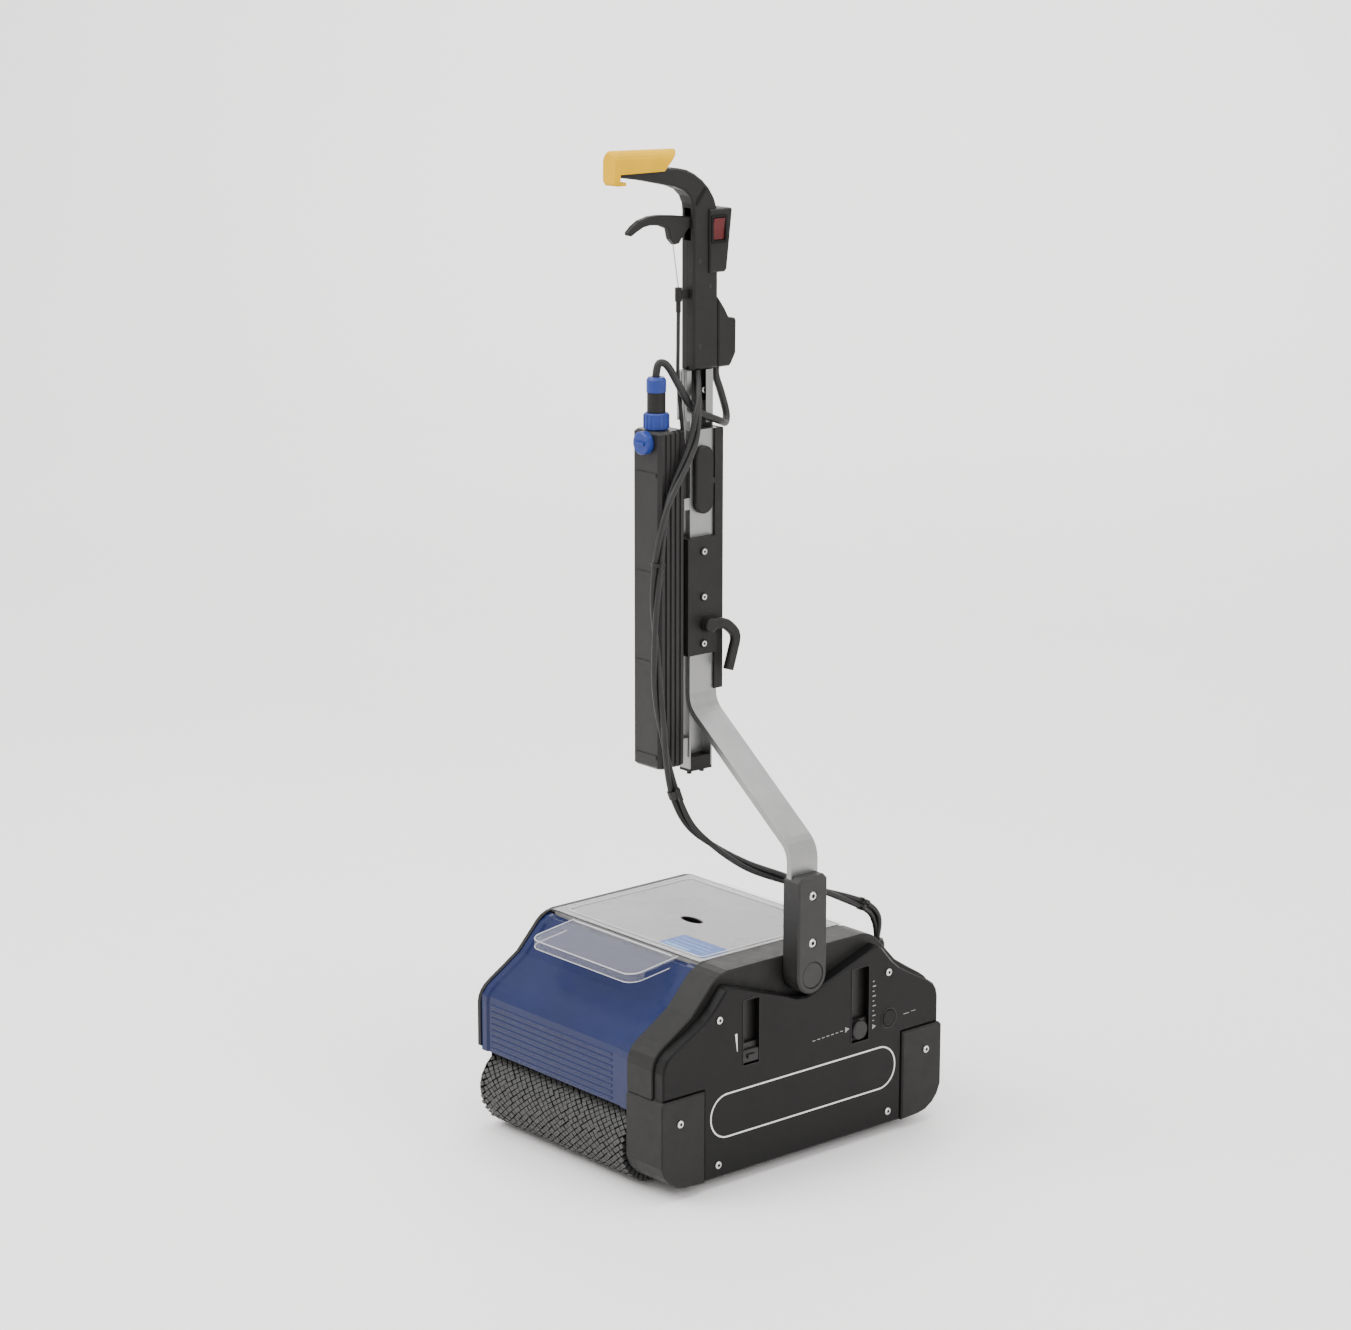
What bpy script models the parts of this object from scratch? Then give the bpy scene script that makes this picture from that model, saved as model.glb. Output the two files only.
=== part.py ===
"""Upright twin-brush floor scrubber with a side arm, sliding mast, battery pack and hooked handle.

Metres, +Z up, floor at z = 0. +X is the side with the arm, -Y is the front (the grip points that way).
"""
import math

import bpy
import bmesh
from mathutils import Matrix, Vector

# ---------------------------------------------------------------- overall sizes
BODY_HALF_DEPTH = 0.225       # housing front face from the pivot plane
BODY_TOP = 0.257              # flat top of the body
BODY_BOTTOM = 0.012           # underside of the housings
LEFT_PLATE_X = (-0.179, -0.172)
HOUSING_X = (0.106, 0.150)
COVER_FACE_X = 0.167          # outer face of the side cover
HEEL_FACE_X = 0.170           # outer face of the heel covers
SHOE_X = (0.152, 0.179)

# ---------------------------------------------------------------- fits
GAP = 0.0003                  # between pieces that touch
SLIDE_CLEAR = 0.0008          # around sliding and turning pieces
WALL = 0.003                  # moulded walls

# ---------------------------------------------------------------- brushes and drive
BRUSH_Y = 0.180
BRUSH_Z = 0.050
BRUSH_R = 0.050
BRUSH_CORE_R = 0.032
BRUSH_X = (-0.170, 0.104)
SHAFT_R = 0.006
BRUSH_PULLEY_R = 0.022
DRUM_Z = 0.053
DRUM_R = 0.044
DRUM_PULLEY_R = 0.018
DRIVE_Y = 0.025               # motor and lay shaft each side of the centre
DRIVE_Z = 0.148
GEAR_R = DRIVE_Y - GAP / 2
GEAR_X = (0.1122, 0.1200)
DRIVE_PULLEY_R = 0.015
PULLEY_X = (0.1225, 0.1335)
DRUM_PULLEY_X = (0.1350, 0.1430)
BELT_THICK = 0.0028
MOTOR_R = 0.034
MOTOR_X = (-0.040, 0.098)

# ---------------------------------------------------------------- arm and mast
PIVOT_Z = 0.235
PIVOT_R = 0.008
CAP_R = 0.0165
SHOE_HALF = 0.023
SHOE_TOP = 0.357
BAR_HALF = 0.021
BAR_THICK = 0.008
BAR_LOW_X = 0.159             # bar centre in the shoe
BAR_TOP = 0.862
MAST_X = (-0.0453, -0.0273)
BAR_HIGH_X = MAST_X[1] + GAP + BAR_THICK / 2    # bar centre beside the mast
MAST_Y = (-0.014, 0.022)
MAST_Z = (0.447, 0.9317)
MAST_WALL = 0.002
BRACKET_Z = (0.592, 0.734)
CLAMP_HUB = (-0.004, 0.6286)  # y, z of the clamp lever pivot

# ---------------------------------------------------------------- battery and head
BATTERY_X = (-0.063, -0.013)
BATTERY_Y = (-0.0735, -0.0325)
BATTERY_Z = (0.458, 0.866)
HEAD_X = -0.037               # centre plane of the handle
HEAD_HALF = 0.01175
HEAD_WALL = 0.0025
HEAD_BOTTOM = 0.932
PLUG_Y = -0.058
TRIGGER_PIVOT = (-0.0005, 1.105)
GRIP_R = 0.0138
GRIP_WALL = 0.0017
OVERALL_TOP = 1.195
SWITCH_Y = (0.0126, 0.0477)    # foremost and rearmost
SWITCH_Z = (1.045, 1.1195)
ROCKER_CENTRE = (0.0262, 1.096)

# ---------------------------------------------------------------- cables
BUNDLE_R = 0.006
LEAD_R = 0.0045
BOWDEN_R = 0.0022
WIRE_R = 0.0009

COLOURS = {
    "black": ((0.045, 0.044, 0.043), 0.5, 0.0),
    "gloss_black": ((0.030, 0.029, 0.028), 0.2, 0.0),
    "blue": ((0.028, 0.052, 0.190), 0.2, 0.0),
    "clear": ((0.62, 0.62, 0.64), 0.15, 0.0),
    "bristle": ((0.16, 0.16, 0.165), 0.8, 0.0),
    "aluminium": ((0.66, 0.68, 0.68), 0.35, 1.0),
    "steel": ((0.60, 0.60, 0.60), 0.3, 1.0),
    "yellow": ((0.76, 0.51, 0.06), 0.45, 0.0),
    "connector": ((0.10, 0.14, 0.42), 0.45, 0.0),
    "red": ((0.35, 0.02, 0.03), 0.35, 0.0),
    "rubber": ((0.030, 0.029, 0.029), 0.65, 0.0),
    "grey": ((0.25, 0.25, 0.25), 0.6, 0.0),
}

for item in list(bpy.data.objects):
    bpy.data.objects.remove(item, do_unlink=True)


# ---------------------------------------------------------------- helpers
def finish(obj, colour):
    """Give a node its own material and smooth its round faces."""
    base, rough, metal = COLOURS[colour]
    mat = bpy.data.materials.new(obj.name + "_material")
    mat.use_nodes = True
    shader = mat.node_tree.nodes["Principled BSDF"]
    shader.inputs["Base Color"].default_value = (*base, 1.0)
    shader.inputs["Roughness"].default_value = rough
    shader.inputs["Metallic"].default_value = metal
    obj.data.materials.append(mat)
    return obj


def helper(obj):
    """Hide a cutter or joining solid."""
    obj.hide_render = True
    obj.display_type = "WIRE"
    return obj


def place(axis, along, a, b):
    """Point from a position along an axis and the two other coordinates."""
    if axis == "X":
        return (along, a, b)
    if axis == "Y":
        return (a, along, b)
    return (a, b, along)


def loft(name, rings, colour=None):
    """Closed solid through rings of equal point count."""
    mesh = bpy.data.meshes.new(name)
    bm = bmesh.new()
    rows = [[bm.verts.new(p) for p in ring] for ring in rings]
    count = len(rows[0])
    for low, high in zip(rows, rows[1:]):
        for i in range(count):
            j = (i + 1) % count
            bm.faces.new((low[i], low[j], high[j], high[i]))
    bm.faces.new(rows[0][::-1])
    bm.faces.new(rows[-1])
    bmesh.ops.recalc_face_normals(bm, faces=bm.faces)
    for face in bm.faces:
        face.smooth = True
    bm.to_mesh(mesh)
    bm.free()
    mesh.set_sharp_from_angle(angle=math.radians(32))
    obj = bpy.data.objects.new(name, mesh)
    bpy.context.collection.objects.link(obj)
    return helper(obj) if colour is None else finish(obj, colour)


def inset(outline, depth):
    """Offset a closed counter-clockwise outline inwards."""
    count = len(outline)
    moved = []
    for i in range(count):
        before = Vector(outline[i]) - Vector(outline[i - 1])
        after = Vector(outline[(i + 1) % count]) - Vector(outline[i])
        n1 = Vector((-before.y, before.x)).normalized()
        n2 = Vector((-after.y, after.x)).normalized()
        shift = (n1 + n2) * (depth / (1.0 + n1.dot(n2)))
        moved.append((outline[i][0] + shift.x, outline[i][1] + shift.y))
    return moved


def prism(name, axis, outline, low, high, colour=None, ease=(0.0, 0.0)):
    """Extrude an outline along an axis, with optional chamfers at the ends."""
    steps = [(low, ease[0])]
    if ease[0]:
        steps.append((low + ease[0], 0.0))
    if ease[1]:
        steps.append((high - ease[1], 0.0))
    steps.append((high, ease[1]))
    rings = [[place(axis, s, a, b) for a, b in (inset(outline, d) if d else outline)] for s, d in steps]
    return loft(name, rings, colour)


def box(name, x, y, z, colour=None, ease=0.0):
    """Block between pairs of coordinates."""
    corners = [(x[0], y[0]), (x[1], y[0]), (x[1], y[1]), (x[0], y[1])]
    return prism(name, "Z", corners, z[0], z[1], colour, (ease, ease))


def disc(centre, radius, segments=24, start=0.0):
    """Regular outline round a centre, counter-clockwise."""
    turn = 2 * math.pi / segments
    return [(centre[0] + radius * math.cos(start + i * turn), centre[1] + radius * math.sin(start + i * turn))
            for i in range(segments)]


def turned(name, axis, centre, profile, colour=None, segments=24):
    """Turned solid from (position along axis, radius) steps."""
    rings = [[place(axis, s, a, b) for a, b in disc(centre, r, segments)] for s, r in profile]
    return loft(name, rings, colour)


def ring_solid(name, axis, centre, profile, colour, segments=24):
    """Turned solid with a hole: the (position, radius) profile closes on itself."""
    mesh = bpy.data.meshes.new(name)
    bm = bmesh.new()
    rows = [[bm.verts.new(place(axis, s, a, b)) for a, b in disc(centre, r, segments)] for s, r in profile]
    for k, low in enumerate(rows):
        high = rows[(k + 1) % len(rows)]
        for i in range(segments):
            j = (i + 1) % segments
            bm.faces.new((low[i], low[j], high[j], high[i]))
    bmesh.ops.recalc_face_normals(bm, faces=bm.faces)
    for face in bm.faces:
        face.smooth = True
    bm.to_mesh(mesh)
    bm.free()
    mesh.set_sharp_from_angle(angle=math.radians(32))
    obj = bpy.data.objects.new(name, mesh)
    bpy.context.collection.objects.link(obj)
    return helper(obj) if colour is None else finish(obj, colour)


def combine(target, others, operation):
    """Stack exact booleans on a target."""
    for other in others:
        mod = target.modifiers.new(operation.lower() + "_" + other.name, "BOOLEAN")
        mod.operation = operation
        mod.solver = "EXACT"
        mod.object = other
    return target


def cut(target, *others):
    return combine(target, others, "DIFFERENCE")


def join(target, *others):
    return combine(target, others, "UNION")


def pivot(obj, point):
    """Move an object's origin to a point without moving its shape."""
    obj.data.transform(Matrix.Translation(-Vector(point)))
    obj.location = point
    return obj


def mirror_y(outline):
    """Mirror a (y, z) outline front to back, keeping it counter-clockwise."""
    return [(-a, b) for a, b in reversed(outline)]


def stadium(c1, r1, c2, r2, segments=10):
    """Outline round two circles, counter-clockwise."""
    d = Vector(c2) - Vector(c1)
    heading = math.atan2(d.y, d.x)
    lean = math.acos((r1 - r2) / d.length)
    points = []
    for k in range(segments + 1):
        angle = heading + lean + (2 * math.pi - 2 * lean) * k / segments
        points.append((c1[0] + r1 * math.cos(angle), c1[1] + r1 * math.sin(angle)))
    for k in range(segments + 1):
        angle = heading - lean + 2 * lean * k / segments
        points.append((c2[0] + r2 * math.cos(angle), c2[1] + r2 * math.sin(angle)))
    return points


def ribbon(path, thickness):
    """Closed outline of a strip of even thickness along an open path."""
    left, right = [], []
    for i, p in enumerate(path):
        before = Vector(p) - Vector(path[i - 1]) if i else Vector(path[1]) - Vector(p)
        after = Vector(path[i + 1]) - Vector(p) if i + 1 < len(path) else before
        n1 = Vector((-before.y, before.x)).normalized()
        n2 = Vector((-after.y, after.x)).normalized()
        shift = (n1 + n2) * (thickness / 2 / (1.0 + n1.dot(n2)))
        left.append((p[0] + shift.x, p[1] + shift.y))
        right.append((p[0] - shift.x, p[1] - shift.y))
    return right + left[::-1]


def soften(path, radius, steps=4):
    """Round the inner corners of an open path with short curves."""
    out = [path[0]]
    for before, corner, after in zip(path, path[1:], path[2:]):
        p, c, q = Vector(before), Vector(corner), Vector(after)
        start = c + (p - c).normalized() * radius
        end = c + (q - c).normalized() * radius
        for k in range(steps + 1):
            t = k / steps
            point = start * (1 - t) ** 2 + c * 2 * t * (1 - t) + end * t ** 2
            out.append((point.x, point.y))
    out.append(path[-1])
    return out


def smooth_route(points, spacing):
    """Even points along a smooth curve through a route."""
    pts = [Vector(p) for p in points]
    pts = [pts[0] * 2 - pts[1]] + pts + [pts[-1] * 2 - pts[-2]]
    fine = []
    for a, b, c, d in zip(pts, pts[1:], pts[2:], pts[3:]):
        for k in range(24):
            t = k / 24
            fine.append(0.5 * (2 * b + (c - a) * t + (2 * a - 5 * b + 4 * c - d) * t * t
                               + (3 * b - a - 3 * c + d) * t ** 3))
    fine.append(pts[-2])
    reach = [0.0]
    for a, b in zip(fine, fine[1:]):
        reach.append(reach[-1] + (b - a).length)
    count = max(2, round(reach[-1] / spacing))
    out, k = [], 0
    for i in range(count + 1):
        want = reach[-1] * i / count
        while k < len(fine) - 2 and reach[k + 1] < want:
            k += 1
        t = (want - reach[k]) / (reach[k + 1] - reach[k])
        out.append(fine[k].lerp(fine[k + 1], t))
    return out


def cable(name, route, radius, spacing, resolution, colour):
    """Round cable with closed ends."""
    data = bpy.data.curves.new(name, "CURVE")
    data.dimensions = "3D"
    data.bevel_depth = radius
    data.bevel_resolution = resolution
    data.use_fill_caps = True
    points = smooth_route(route, spacing)
    nose = (Vector(route[1]) - Vector(route[0])).normalized() * radius * 0.6
    tail = (Vector(route[-2]) - Vector(route[-1])).normalized() * radius * 0.6
    points = [points[0], points[0] + nose] + points[1:-1] + [points[-1] + tail, points[-1]]
    spline = data.splines.new("POLY")
    spline.points.add(len(points) - 1)
    for slot, point in zip(spline.points, points):
        slot.co = (*point, 1.0)
    spline.use_smooth = True
    obj = bpy.data.objects.new(name, data)
    bpy.context.collection.objects.link(obj)
    return finish(obj, colour)


def screw(name, centre, face, depth, colour="steel", head=0.0046):
    """Star-socket screw along X: the head stands on a face, the shank goes inwards."""
    shank = 0.002
    profile = [(face - depth, shank, 1.0), (face + GAP, shank, 1.0), (face + GAP, head, 1.0),
               (face + 0.0014, head, 1.0), (face + 0.0020, head * 0.8, 1.0),
               (face + 0.0020, head * 0.45, 0.6), (face + 0.0010, head * 0.42, 0.6)]
    rings = []
    for x, radius, dip in profile:
        ring = []
        for i in range(12):
            angle = 2 * math.pi * i / 12
            r = radius * (dip if i % 2 else 1.0)
            ring.append((x, centre[0] + r * math.cos(angle), centre[1] + r * math.sin(angle)))
        rings.append(ring)
    return loft(name, rings, colour)


# ---------------------------------------------------------------- body outlines (y, z), rear half
FLANK = [(BODY_HALF_DEPTH, 0.160), (0.2235, 0.168), (0.2200, 0.175), (0.2150, 0.1805), (0.2060, 0.1870),
         (0.1860, 0.1990), (0.1640, 0.2130), (0.1470, 0.2310), (0.1330, 0.2460), (0.1260, 0.2515),
         (0.1180, 0.2550), (0.1080, BODY_TOP)]
CORNER = [(0.1620, BODY_BOTTOM), (0.1900, 0.0135), (0.2010, 0.0165), (0.2120, 0.0235), (0.2200, 0.0330),
          (BODY_HALF_DEPTH, 0.0450)]
HEEL_Y = 0.160
HEEL_TOP = 0.125
HEEL_WALL = 0.0032


def full(half):
    """Closed outline from its rear half, listed bottom to top."""
    return half + [(-a, b) for a, b in reversed(half)]


BODY_OUTLINE = full(CORNER + FLANK)

# ---------------------------------------------------------------- gear housing
corner_in = [(HEEL_Y - GAP, BODY_BOTTOM), (HEEL_Y - GAP, BODY_BOTTOM + HEEL_WALL + GAP), (0.1880, 0.0160),
             (0.1990, 0.0195), (0.2090, 0.0262), (0.2165, 0.0350), (0.2213, 0.0460),
             (0.2213, HEEL_TOP + GAP), (BODY_HALF_DEPTH, HEEL_TOP + GAP)]
HOUSING_OUTLINE = full(corner_in + FLANK)
CAVITY_TOP = [(0.1880, 0.1925), (0.1600, 0.2080), (0.1420, 0.2270), (0.1290, 0.2410), (0.1180, 0.2485),
              (0.1080, 0.2525)]
cavity = full([(0.1540, 0.0165), (0.1540, 0.0200), (0.1860, 0.0205), (0.1970, 0.0235), (0.2060, 0.0295),
               (0.2130, 0.0375), (0.2170, 0.0480), (0.2170, 0.1200), (0.2200, 0.1290), (0.2200, 0.1620),
               (0.2120, 0.1765)] + CAVITY_TOP)
COVER_TOP_Y = 0.120
COVER_TOP_Z = 0.243
VEE_Z = 0.205
cover_half = [(HEEL_Y - GAP, BODY_BOTTOM), (HEEL_Y - GAP, HEEL_TOP + GAP), (0.2220, HEEL_TOP + GAP),
              (0.2220, 0.1580), (0.2200, 0.1670), (0.2150, 0.1750), (0.2060, 0.1815), (0.1700, 0.2007),
              (0.1560, 0.2090), (0.1440, 0.2190), (0.1300, 0.2350), (0.1255, 0.2400), (COVER_TOP_Y, COVER_TOP_Z),
              (0.1120, 0.2415), (0.0300, 0.2140), (0.0150, 0.2075)]
COVER_OUTLINE = cover_half + [(0.0, VEE_Z)] + [(-a, b) for a, b in reversed(cover_half)]

housing = prism("gear_housing", "X", HOUSING_OUTLINE, HOUSING_X[0], HOUSING_X[1], "black", (0.0, 0.0012))
outer_wall = HOUSING_X[1] - 0.0035
open_face = inset(COVER_OUTLINE, 0.005)
cut(housing,
    prism("housing_cavity", "X", cavity, HOUSING_X[0] + 0.004, outer_wall),
    prism("housing_mouth", "X", open_face, HOUSING_X[0] + 0.020, HOUSING_X[1] + 0.005))
holes = [("front_brush_hole", (-BRUSH_Y, BRUSH_Z), SHAFT_R), ("rear_brush_hole", (BRUSH_Y, BRUSH_Z), SHAFT_R),
         ("drum_hole", (0.0, DRUM_Z), SHAFT_R), ("motor_hole", (-DRIVE_Y, DRIVE_Z), 0.004),
         ("lay_hole", (DRIVE_Y, DRIVE_Z), 0.004)]
for label, centre, radius in holes:
    cut(housing, turned(label, "X", centre, [(HOUSING_X[0] - 0.002, radius + GAP),
                                              (HOUSING_X[0] + 0.006, radius + GAP)], None, 12))
cut(housing, turned("pivot_hole", "X", (0.0, PIVOT_Z), [(HOUSING_X[0] + 0.0015, PIVOT_R + GAP),
                                                        (HOUSING_X[1] + 0.002, PIVOT_R + GAP)]))
GLAND_AT = (0.132, 0.1500)
GLAND_TOP = 0.2375
join(housing, turned("cable_gland", "Z", GLAND_AT, [(0.218, 0.0095), (0.2325, 0.0095), (GLAND_TOP, 0.0075)]))

cover = prism("side_cover_right", "X", COVER_OUTLINE, HOUSING_X[1] + GAP, COVER_FACE_X, "gloss_black", (0.0, 0.0022))
cut(cover, prism("cover_hollow", "X", inset(COVER_OUTLINE, 0.0045), HOUSING_X[1] - 0.002, COVER_FACE_X - 0.004))
SLOT_FRONT = ((-0.099, -0.074), (0.142, 0.222))
SLOT_REAR = ((0.076, 0.104), (0.129, 0.222))
for label, slot in (("slot_front", SLOT_FRONT), ("slot_rear", SLOT_REAR)):
    cut(cover, box(label, (COVER_FACE_X - 0.006, COVER_FACE_X + 0.002), slot[0], slot[1]))
BUTTON_AT = (0.138, 0.148)
BUTTON_R = 0.0105
cut(cover, turned("button_hole", "X", BUTTON_AT, [(COVER_FACE_X - 0.006, BUTTON_R + SLIDE_CLEAR),
                                                  (COVER_FACE_X + 0.002, BUTTON_R + SLIDE_CLEAR)]))
COVER_SCREWS = [("cover_screw_front_top", (-0.1364, 0.2067)), ("cover_screw_rear_top", (0.1364, 0.2067)),
                ("cover_screw_front_low", (-0.1377, 0.0284)), ("cover_screw_rear_low", (0.1377, 0.0284))]
SCREW_DEPTH = 0.010
for label, centre in COVER_SCREWS:
    cut(cover, turned(label + "_hole", "X", centre, [(COVER_FACE_X - 0.012, 0.0023), (COVER_FACE_X + 0.002, 0.0023)], None, 12))
    screw(label, centre, COVER_FACE_X, SCREW_DEPTH)

# ---------------------------------------------------------------- heel covers
heel_outline = [(HEEL_Y, HEEL_TOP), (HEEL_Y, BODY_BOTTOM)] + [
    (0.1900, 0.0135), (0.2018, 0.0160), (0.2130, 0.0228), (0.2213, 0.0325), (0.2265, 0.0450),
    (0.2265, HEEL_TOP - 0.004), (0.2225, HEEL_TOP)]
heel_seat = [(HEEL_Y - 0.02, HEEL_TOP + 0.02), (HEEL_Y - 0.02, BODY_BOTTOM + HEEL_WALL), (0.1880, BODY_BOTTOM + HEEL_WALL),
             (0.1990, 0.0190), (0.2095, 0.0257), (0.2169, 0.0347), (0.2216, 0.0458), (0.2216, HEEL_TOP + 0.02)]
for label, flip in (("front", True), ("rear", False)):
    outline = mirror_y(heel_outline) if flip else heel_outline
    seat = mirror_y(heel_seat) if flip else heel_seat
    heel = prism("heel_cover_" + label, "X", outline, HOUSING_X[0], HEEL_FACE_X, "black", (0.0, 0.0018))
    cut(heel,
        prism("heel_seat_" + label, "X", seat, HOUSING_X[0] - 0.002, HOUSING_X[1] + GAP),
        prism("heel_hollow_" + label, "X", inset(outline, 0.0035), HOUSING_X[1] - 0.004, HEEL_FACE_X - 0.004))
    spot = (-0.199 if flip else 0.199, 0.095)
    cut(heel, turned("heel_hole_" + label, "X", spot, [(HEEL_FACE_X - 0.012, 0.0023), (HEEL_FACE_X + 0.002, 0.0023)], None, 12))
    screw("heel_screw_" + label, spot, HEEL_FACE_X, SCREW_DEPTH)

# ---------------------------------------------------------------- left side plate and base
PLATE_FOOT_R = 0.043          # the plate stays inside the brush ends down here
PLATE_FOOT = [(0.1620, BODY_BOTTOM)]
PLATE_FOOT += [(BRUSH_Y + PLATE_FOOT_R * math.cos(math.radians(a)), BRUSH_Z + PLATE_FOOT_R * math.sin(math.radians(a)))
               for a in (-62, -40, -20, 0, 20, 40, 55)]
PLATE_FOOT += [(0.2045, 0.0920), (0.2080, 0.0975), (0.2160, 0.1010), (BODY_HALF_DEPTH, 0.1050)]
PLATE_OUTLINE = full(PLATE_FOOT + FLANK)
plate = prism("side_plate_left", "X", PLATE_OUTLINE, LEFT_PLATE_X[0], LEFT_PLATE_X[1], "black", (0.0016, 0.0))
cut(plate, prism("plate_panel", "X", inset(PLATE_OUTLINE, 0.010), LEFT_PLATE_X[0] - 0.002, LEFT_PLATE_X[0] + 0.0015))
for label, y in (("front_tip_pocket", -BRUSH_Y), ("rear_tip_pocket", BRUSH_Y)):
    pocket = turned(label, "X", (y, BRUSH_Z), [(LEFT_PLATE_X[0] + 0.0035, BRUSH_R + 0.0035),
                                               (LEFT_PLATE_X[1] + 0.002, BRUSH_R + 0.0035)], None, 48)
    cut(pocket, turned(label + "_boss", "X", (y, BRUSH_Z), [(LEFT_PLATE_X[0], BRUSH_CORE_R + 0.002),
                                                            (LEFT_PLATE_X[1] + 0.004, BRUSH_CORE_R + 0.002)], None, 32))
    cut(plate, pocket)
for label, centre in (("front_end_hole", (-BRUSH_Y, BRUSH_Z)), ("rear_end_hole", (BRUSH_Y, BRUSH_Z)),
                      ("drum_end_hole", (0.0, DRUM_Z))):
    cut(plate, turned(label, "X", centre, [(LEFT_PLATE_X[1] - 0.0045, SHAFT_R + GAP), (LEFT_PLATE_X[1] + 0.002, SHAFT_R + GAP)], None, 12))

INNER_X = (LEFT_PLATE_X[1] + GAP, HOUSING_X[0] - GAP)
PAN_HALF = 0.124
PAN_Z = (0.102, 0.190)
pan = box("base_pan", INNER_X, (-PAN_HALF, PAN_HALF), PAN_Z, "grey")
cut(pan,
    box("motor_bay", (MOTOR_X[0] - 0.008, INNER_X[1] - WALL), (-PAN_HALF + WALL, PAN_HALF - WALL),
        (PAN_Z[0] + WALL, PAN_Z[1] + 0.01)),
    box("recovery_basin", (INNER_X[0] + WALL, MOTOR_X[0] - 0.011), (-PAN_HALF + WALL, PAN_HALF - WALL),
        (PAN_Z[0] + WALL, PAN_Z[1] + 0.01)),
    turned("motor_nose_hole", "X", (-DRIVE_Y, DRIVE_Z), [(INNER_X[1] - 0.006, 0.008), (INNER_X[1] + 0.002, 0.008)]))

# ---------------------------------------------------------------- motor, shafts, drum and brushes
turned("motor", "X", (-DRIVE_Y, DRIVE_Z), [(MOTOR_X[0], 0.020), (MOTOR_X[0], MOTOR_R - 0.003),
                                           (MOTOR_X[0] + 0.003, MOTOR_R), (MOTOR_X[1] - 0.003, MOTOR_R),
                                           (MOTOR_X[1], MOTOR_R - 0.003), (MOTOR_X[1], 0.0075),
                                           (MOTOR_X[1] + 0.003, 0.0075)], "grey")


def toothed(name, centre, colour, shaft_from, gear, pulleys, shaft_to, shaft=0.004):
    """Shaft carrying an optional gear blank and flat belt pulleys."""
    profile = [(shaft_from, shaft)]
    wheels = ([(GEAR_X, gear)] if gear else []) + pulleys
    for (start, end), radius in wheels:
        profile += [(start, shaft), (start, radius), (end, radius), (end, shaft)]
    profile.append((shaft_to, shaft))
    return pivot(turned(name, "X", centre, profile, colour, 20), (0.0, *centre))


toothed("motor_pulley", (-DRIVE_Y, DRIVE_Z), "steel", MOTOR_X[1] + 0.0035, GEAR_R,
        [(PULLEY_X, DRIVE_PULLEY_R)], PULLEY_X[1] + 0.001)
toothed("lay_pulley", (DRIVE_Y, DRIVE_Z), "steel", INNER_X[1] + 0.001, GEAR_R,
        [(PULLEY_X, DRIVE_PULLEY_R), (DRUM_PULLEY_X, DRIVE_PULLEY_R)], DRUM_PULLEY_X[1] + 0.001)
drum_profile = [(LEFT_PLATE_X[1] - 0.004, SHAFT_R), (BRUSH_X[0] + 0.002, SHAFT_R), (BRUSH_X[0] + 0.002, DRUM_R),
                (BRUSH_X[1] - 0.002, DRUM_R), (BRUSH_X[1] - 0.002, SHAFT_R), (DRUM_PULLEY_X[0], SHAFT_R),
                (DRUM_PULLEY_X[0], DRUM_PULLEY_R), (DRUM_PULLEY_X[1], DRUM_PULLEY_R), (DRUM_PULLEY_X[1], 0.003),
                (DRUM_PULLEY_X[1] + 0.001, 0.003)]
pivot(turned("pickup_drum", "X", (0.0, DRUM_Z), drum_profile, "rubber", 20), (0.0, 0.0, DRUM_Z))
core_profile = [(LEFT_PLATE_X[1] - 0.004, SHAFT_R), (BRUSH_X[0] + 0.001, SHAFT_R), (BRUSH_X[0] + 0.001, BRUSH_CORE_R),
                (BRUSH_X[1] - 0.001, BRUSH_CORE_R), (BRUSH_X[1] - 0.001, SHAFT_R), (PULLEY_X[0], SHAFT_R),
                (PULLEY_X[0], BRUSH_PULLEY_R), (PULLEY_X[1], BRUSH_PULLEY_R), (PULLEY_X[1], 0.003),
                (PULLEY_X[1] + 0.001, 0.003)]
sleeve = [(BRUSH_X[0], BRUSH_CORE_R + GAP), (BRUSH_X[0], BRUSH_R - 0.002), (BRUSH_X[0] + 0.002, BRUSH_R),
          (BRUSH_X[1] - 0.002, BRUSH_R), (BRUSH_X[1], BRUSH_R - 0.002), (BRUSH_X[1], BRUSH_CORE_R + GAP)]
for label, side in (("front", -1.0), ("rear", 1.0)):
    axis_at = (side * BRUSH_Y, BRUSH_Z)
    pivot(turned(label + "_brush_core", "X", axis_at, core_profile, "grey", 20), (0.0, *axis_at))
    pivot(ring_solid(label + "_brush_bristles", "X", axis_at, sleeve, "bristle", 36), (0.0, *axis_at))


def belt(name, first, r1, second, r2, span):
    """Closed belt round two pulleys, a hair clear of both."""
    outer = stadium(first, r1 + GAP + BELT_THICK, second, r2 + GAP + BELT_THICK)
    inner = stadium(first, r1 + GAP, second, r2 + GAP)
    width = (span[0] + 0.0005, span[1] - 0.0005)
    loop = prism(name, "X", outer, width[0], width[1], "rubber")
    return cut(loop, prism(name + "_inside", "X", inner, width[0] - 0.002, width[1] + 0.002))


belt("belt_front", (-DRIVE_Y, DRIVE_Z), DRIVE_PULLEY_R, (-BRUSH_Y, BRUSH_Z), BRUSH_PULLEY_R, PULLEY_X)
belt("belt_rear", (DRIVE_Y, DRIVE_Z), DRIVE_PULLEY_R, (BRUSH_Y, BRUSH_Z), BRUSH_PULLEY_R, PULLEY_X)
belt("belt_drum", (DRIVE_Y, DRIVE_Z), DRIVE_PULLEY_R, (0.0, DRUM_Z), DRUM_PULLEY_R, DRUM_PULLEY_X)

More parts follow.
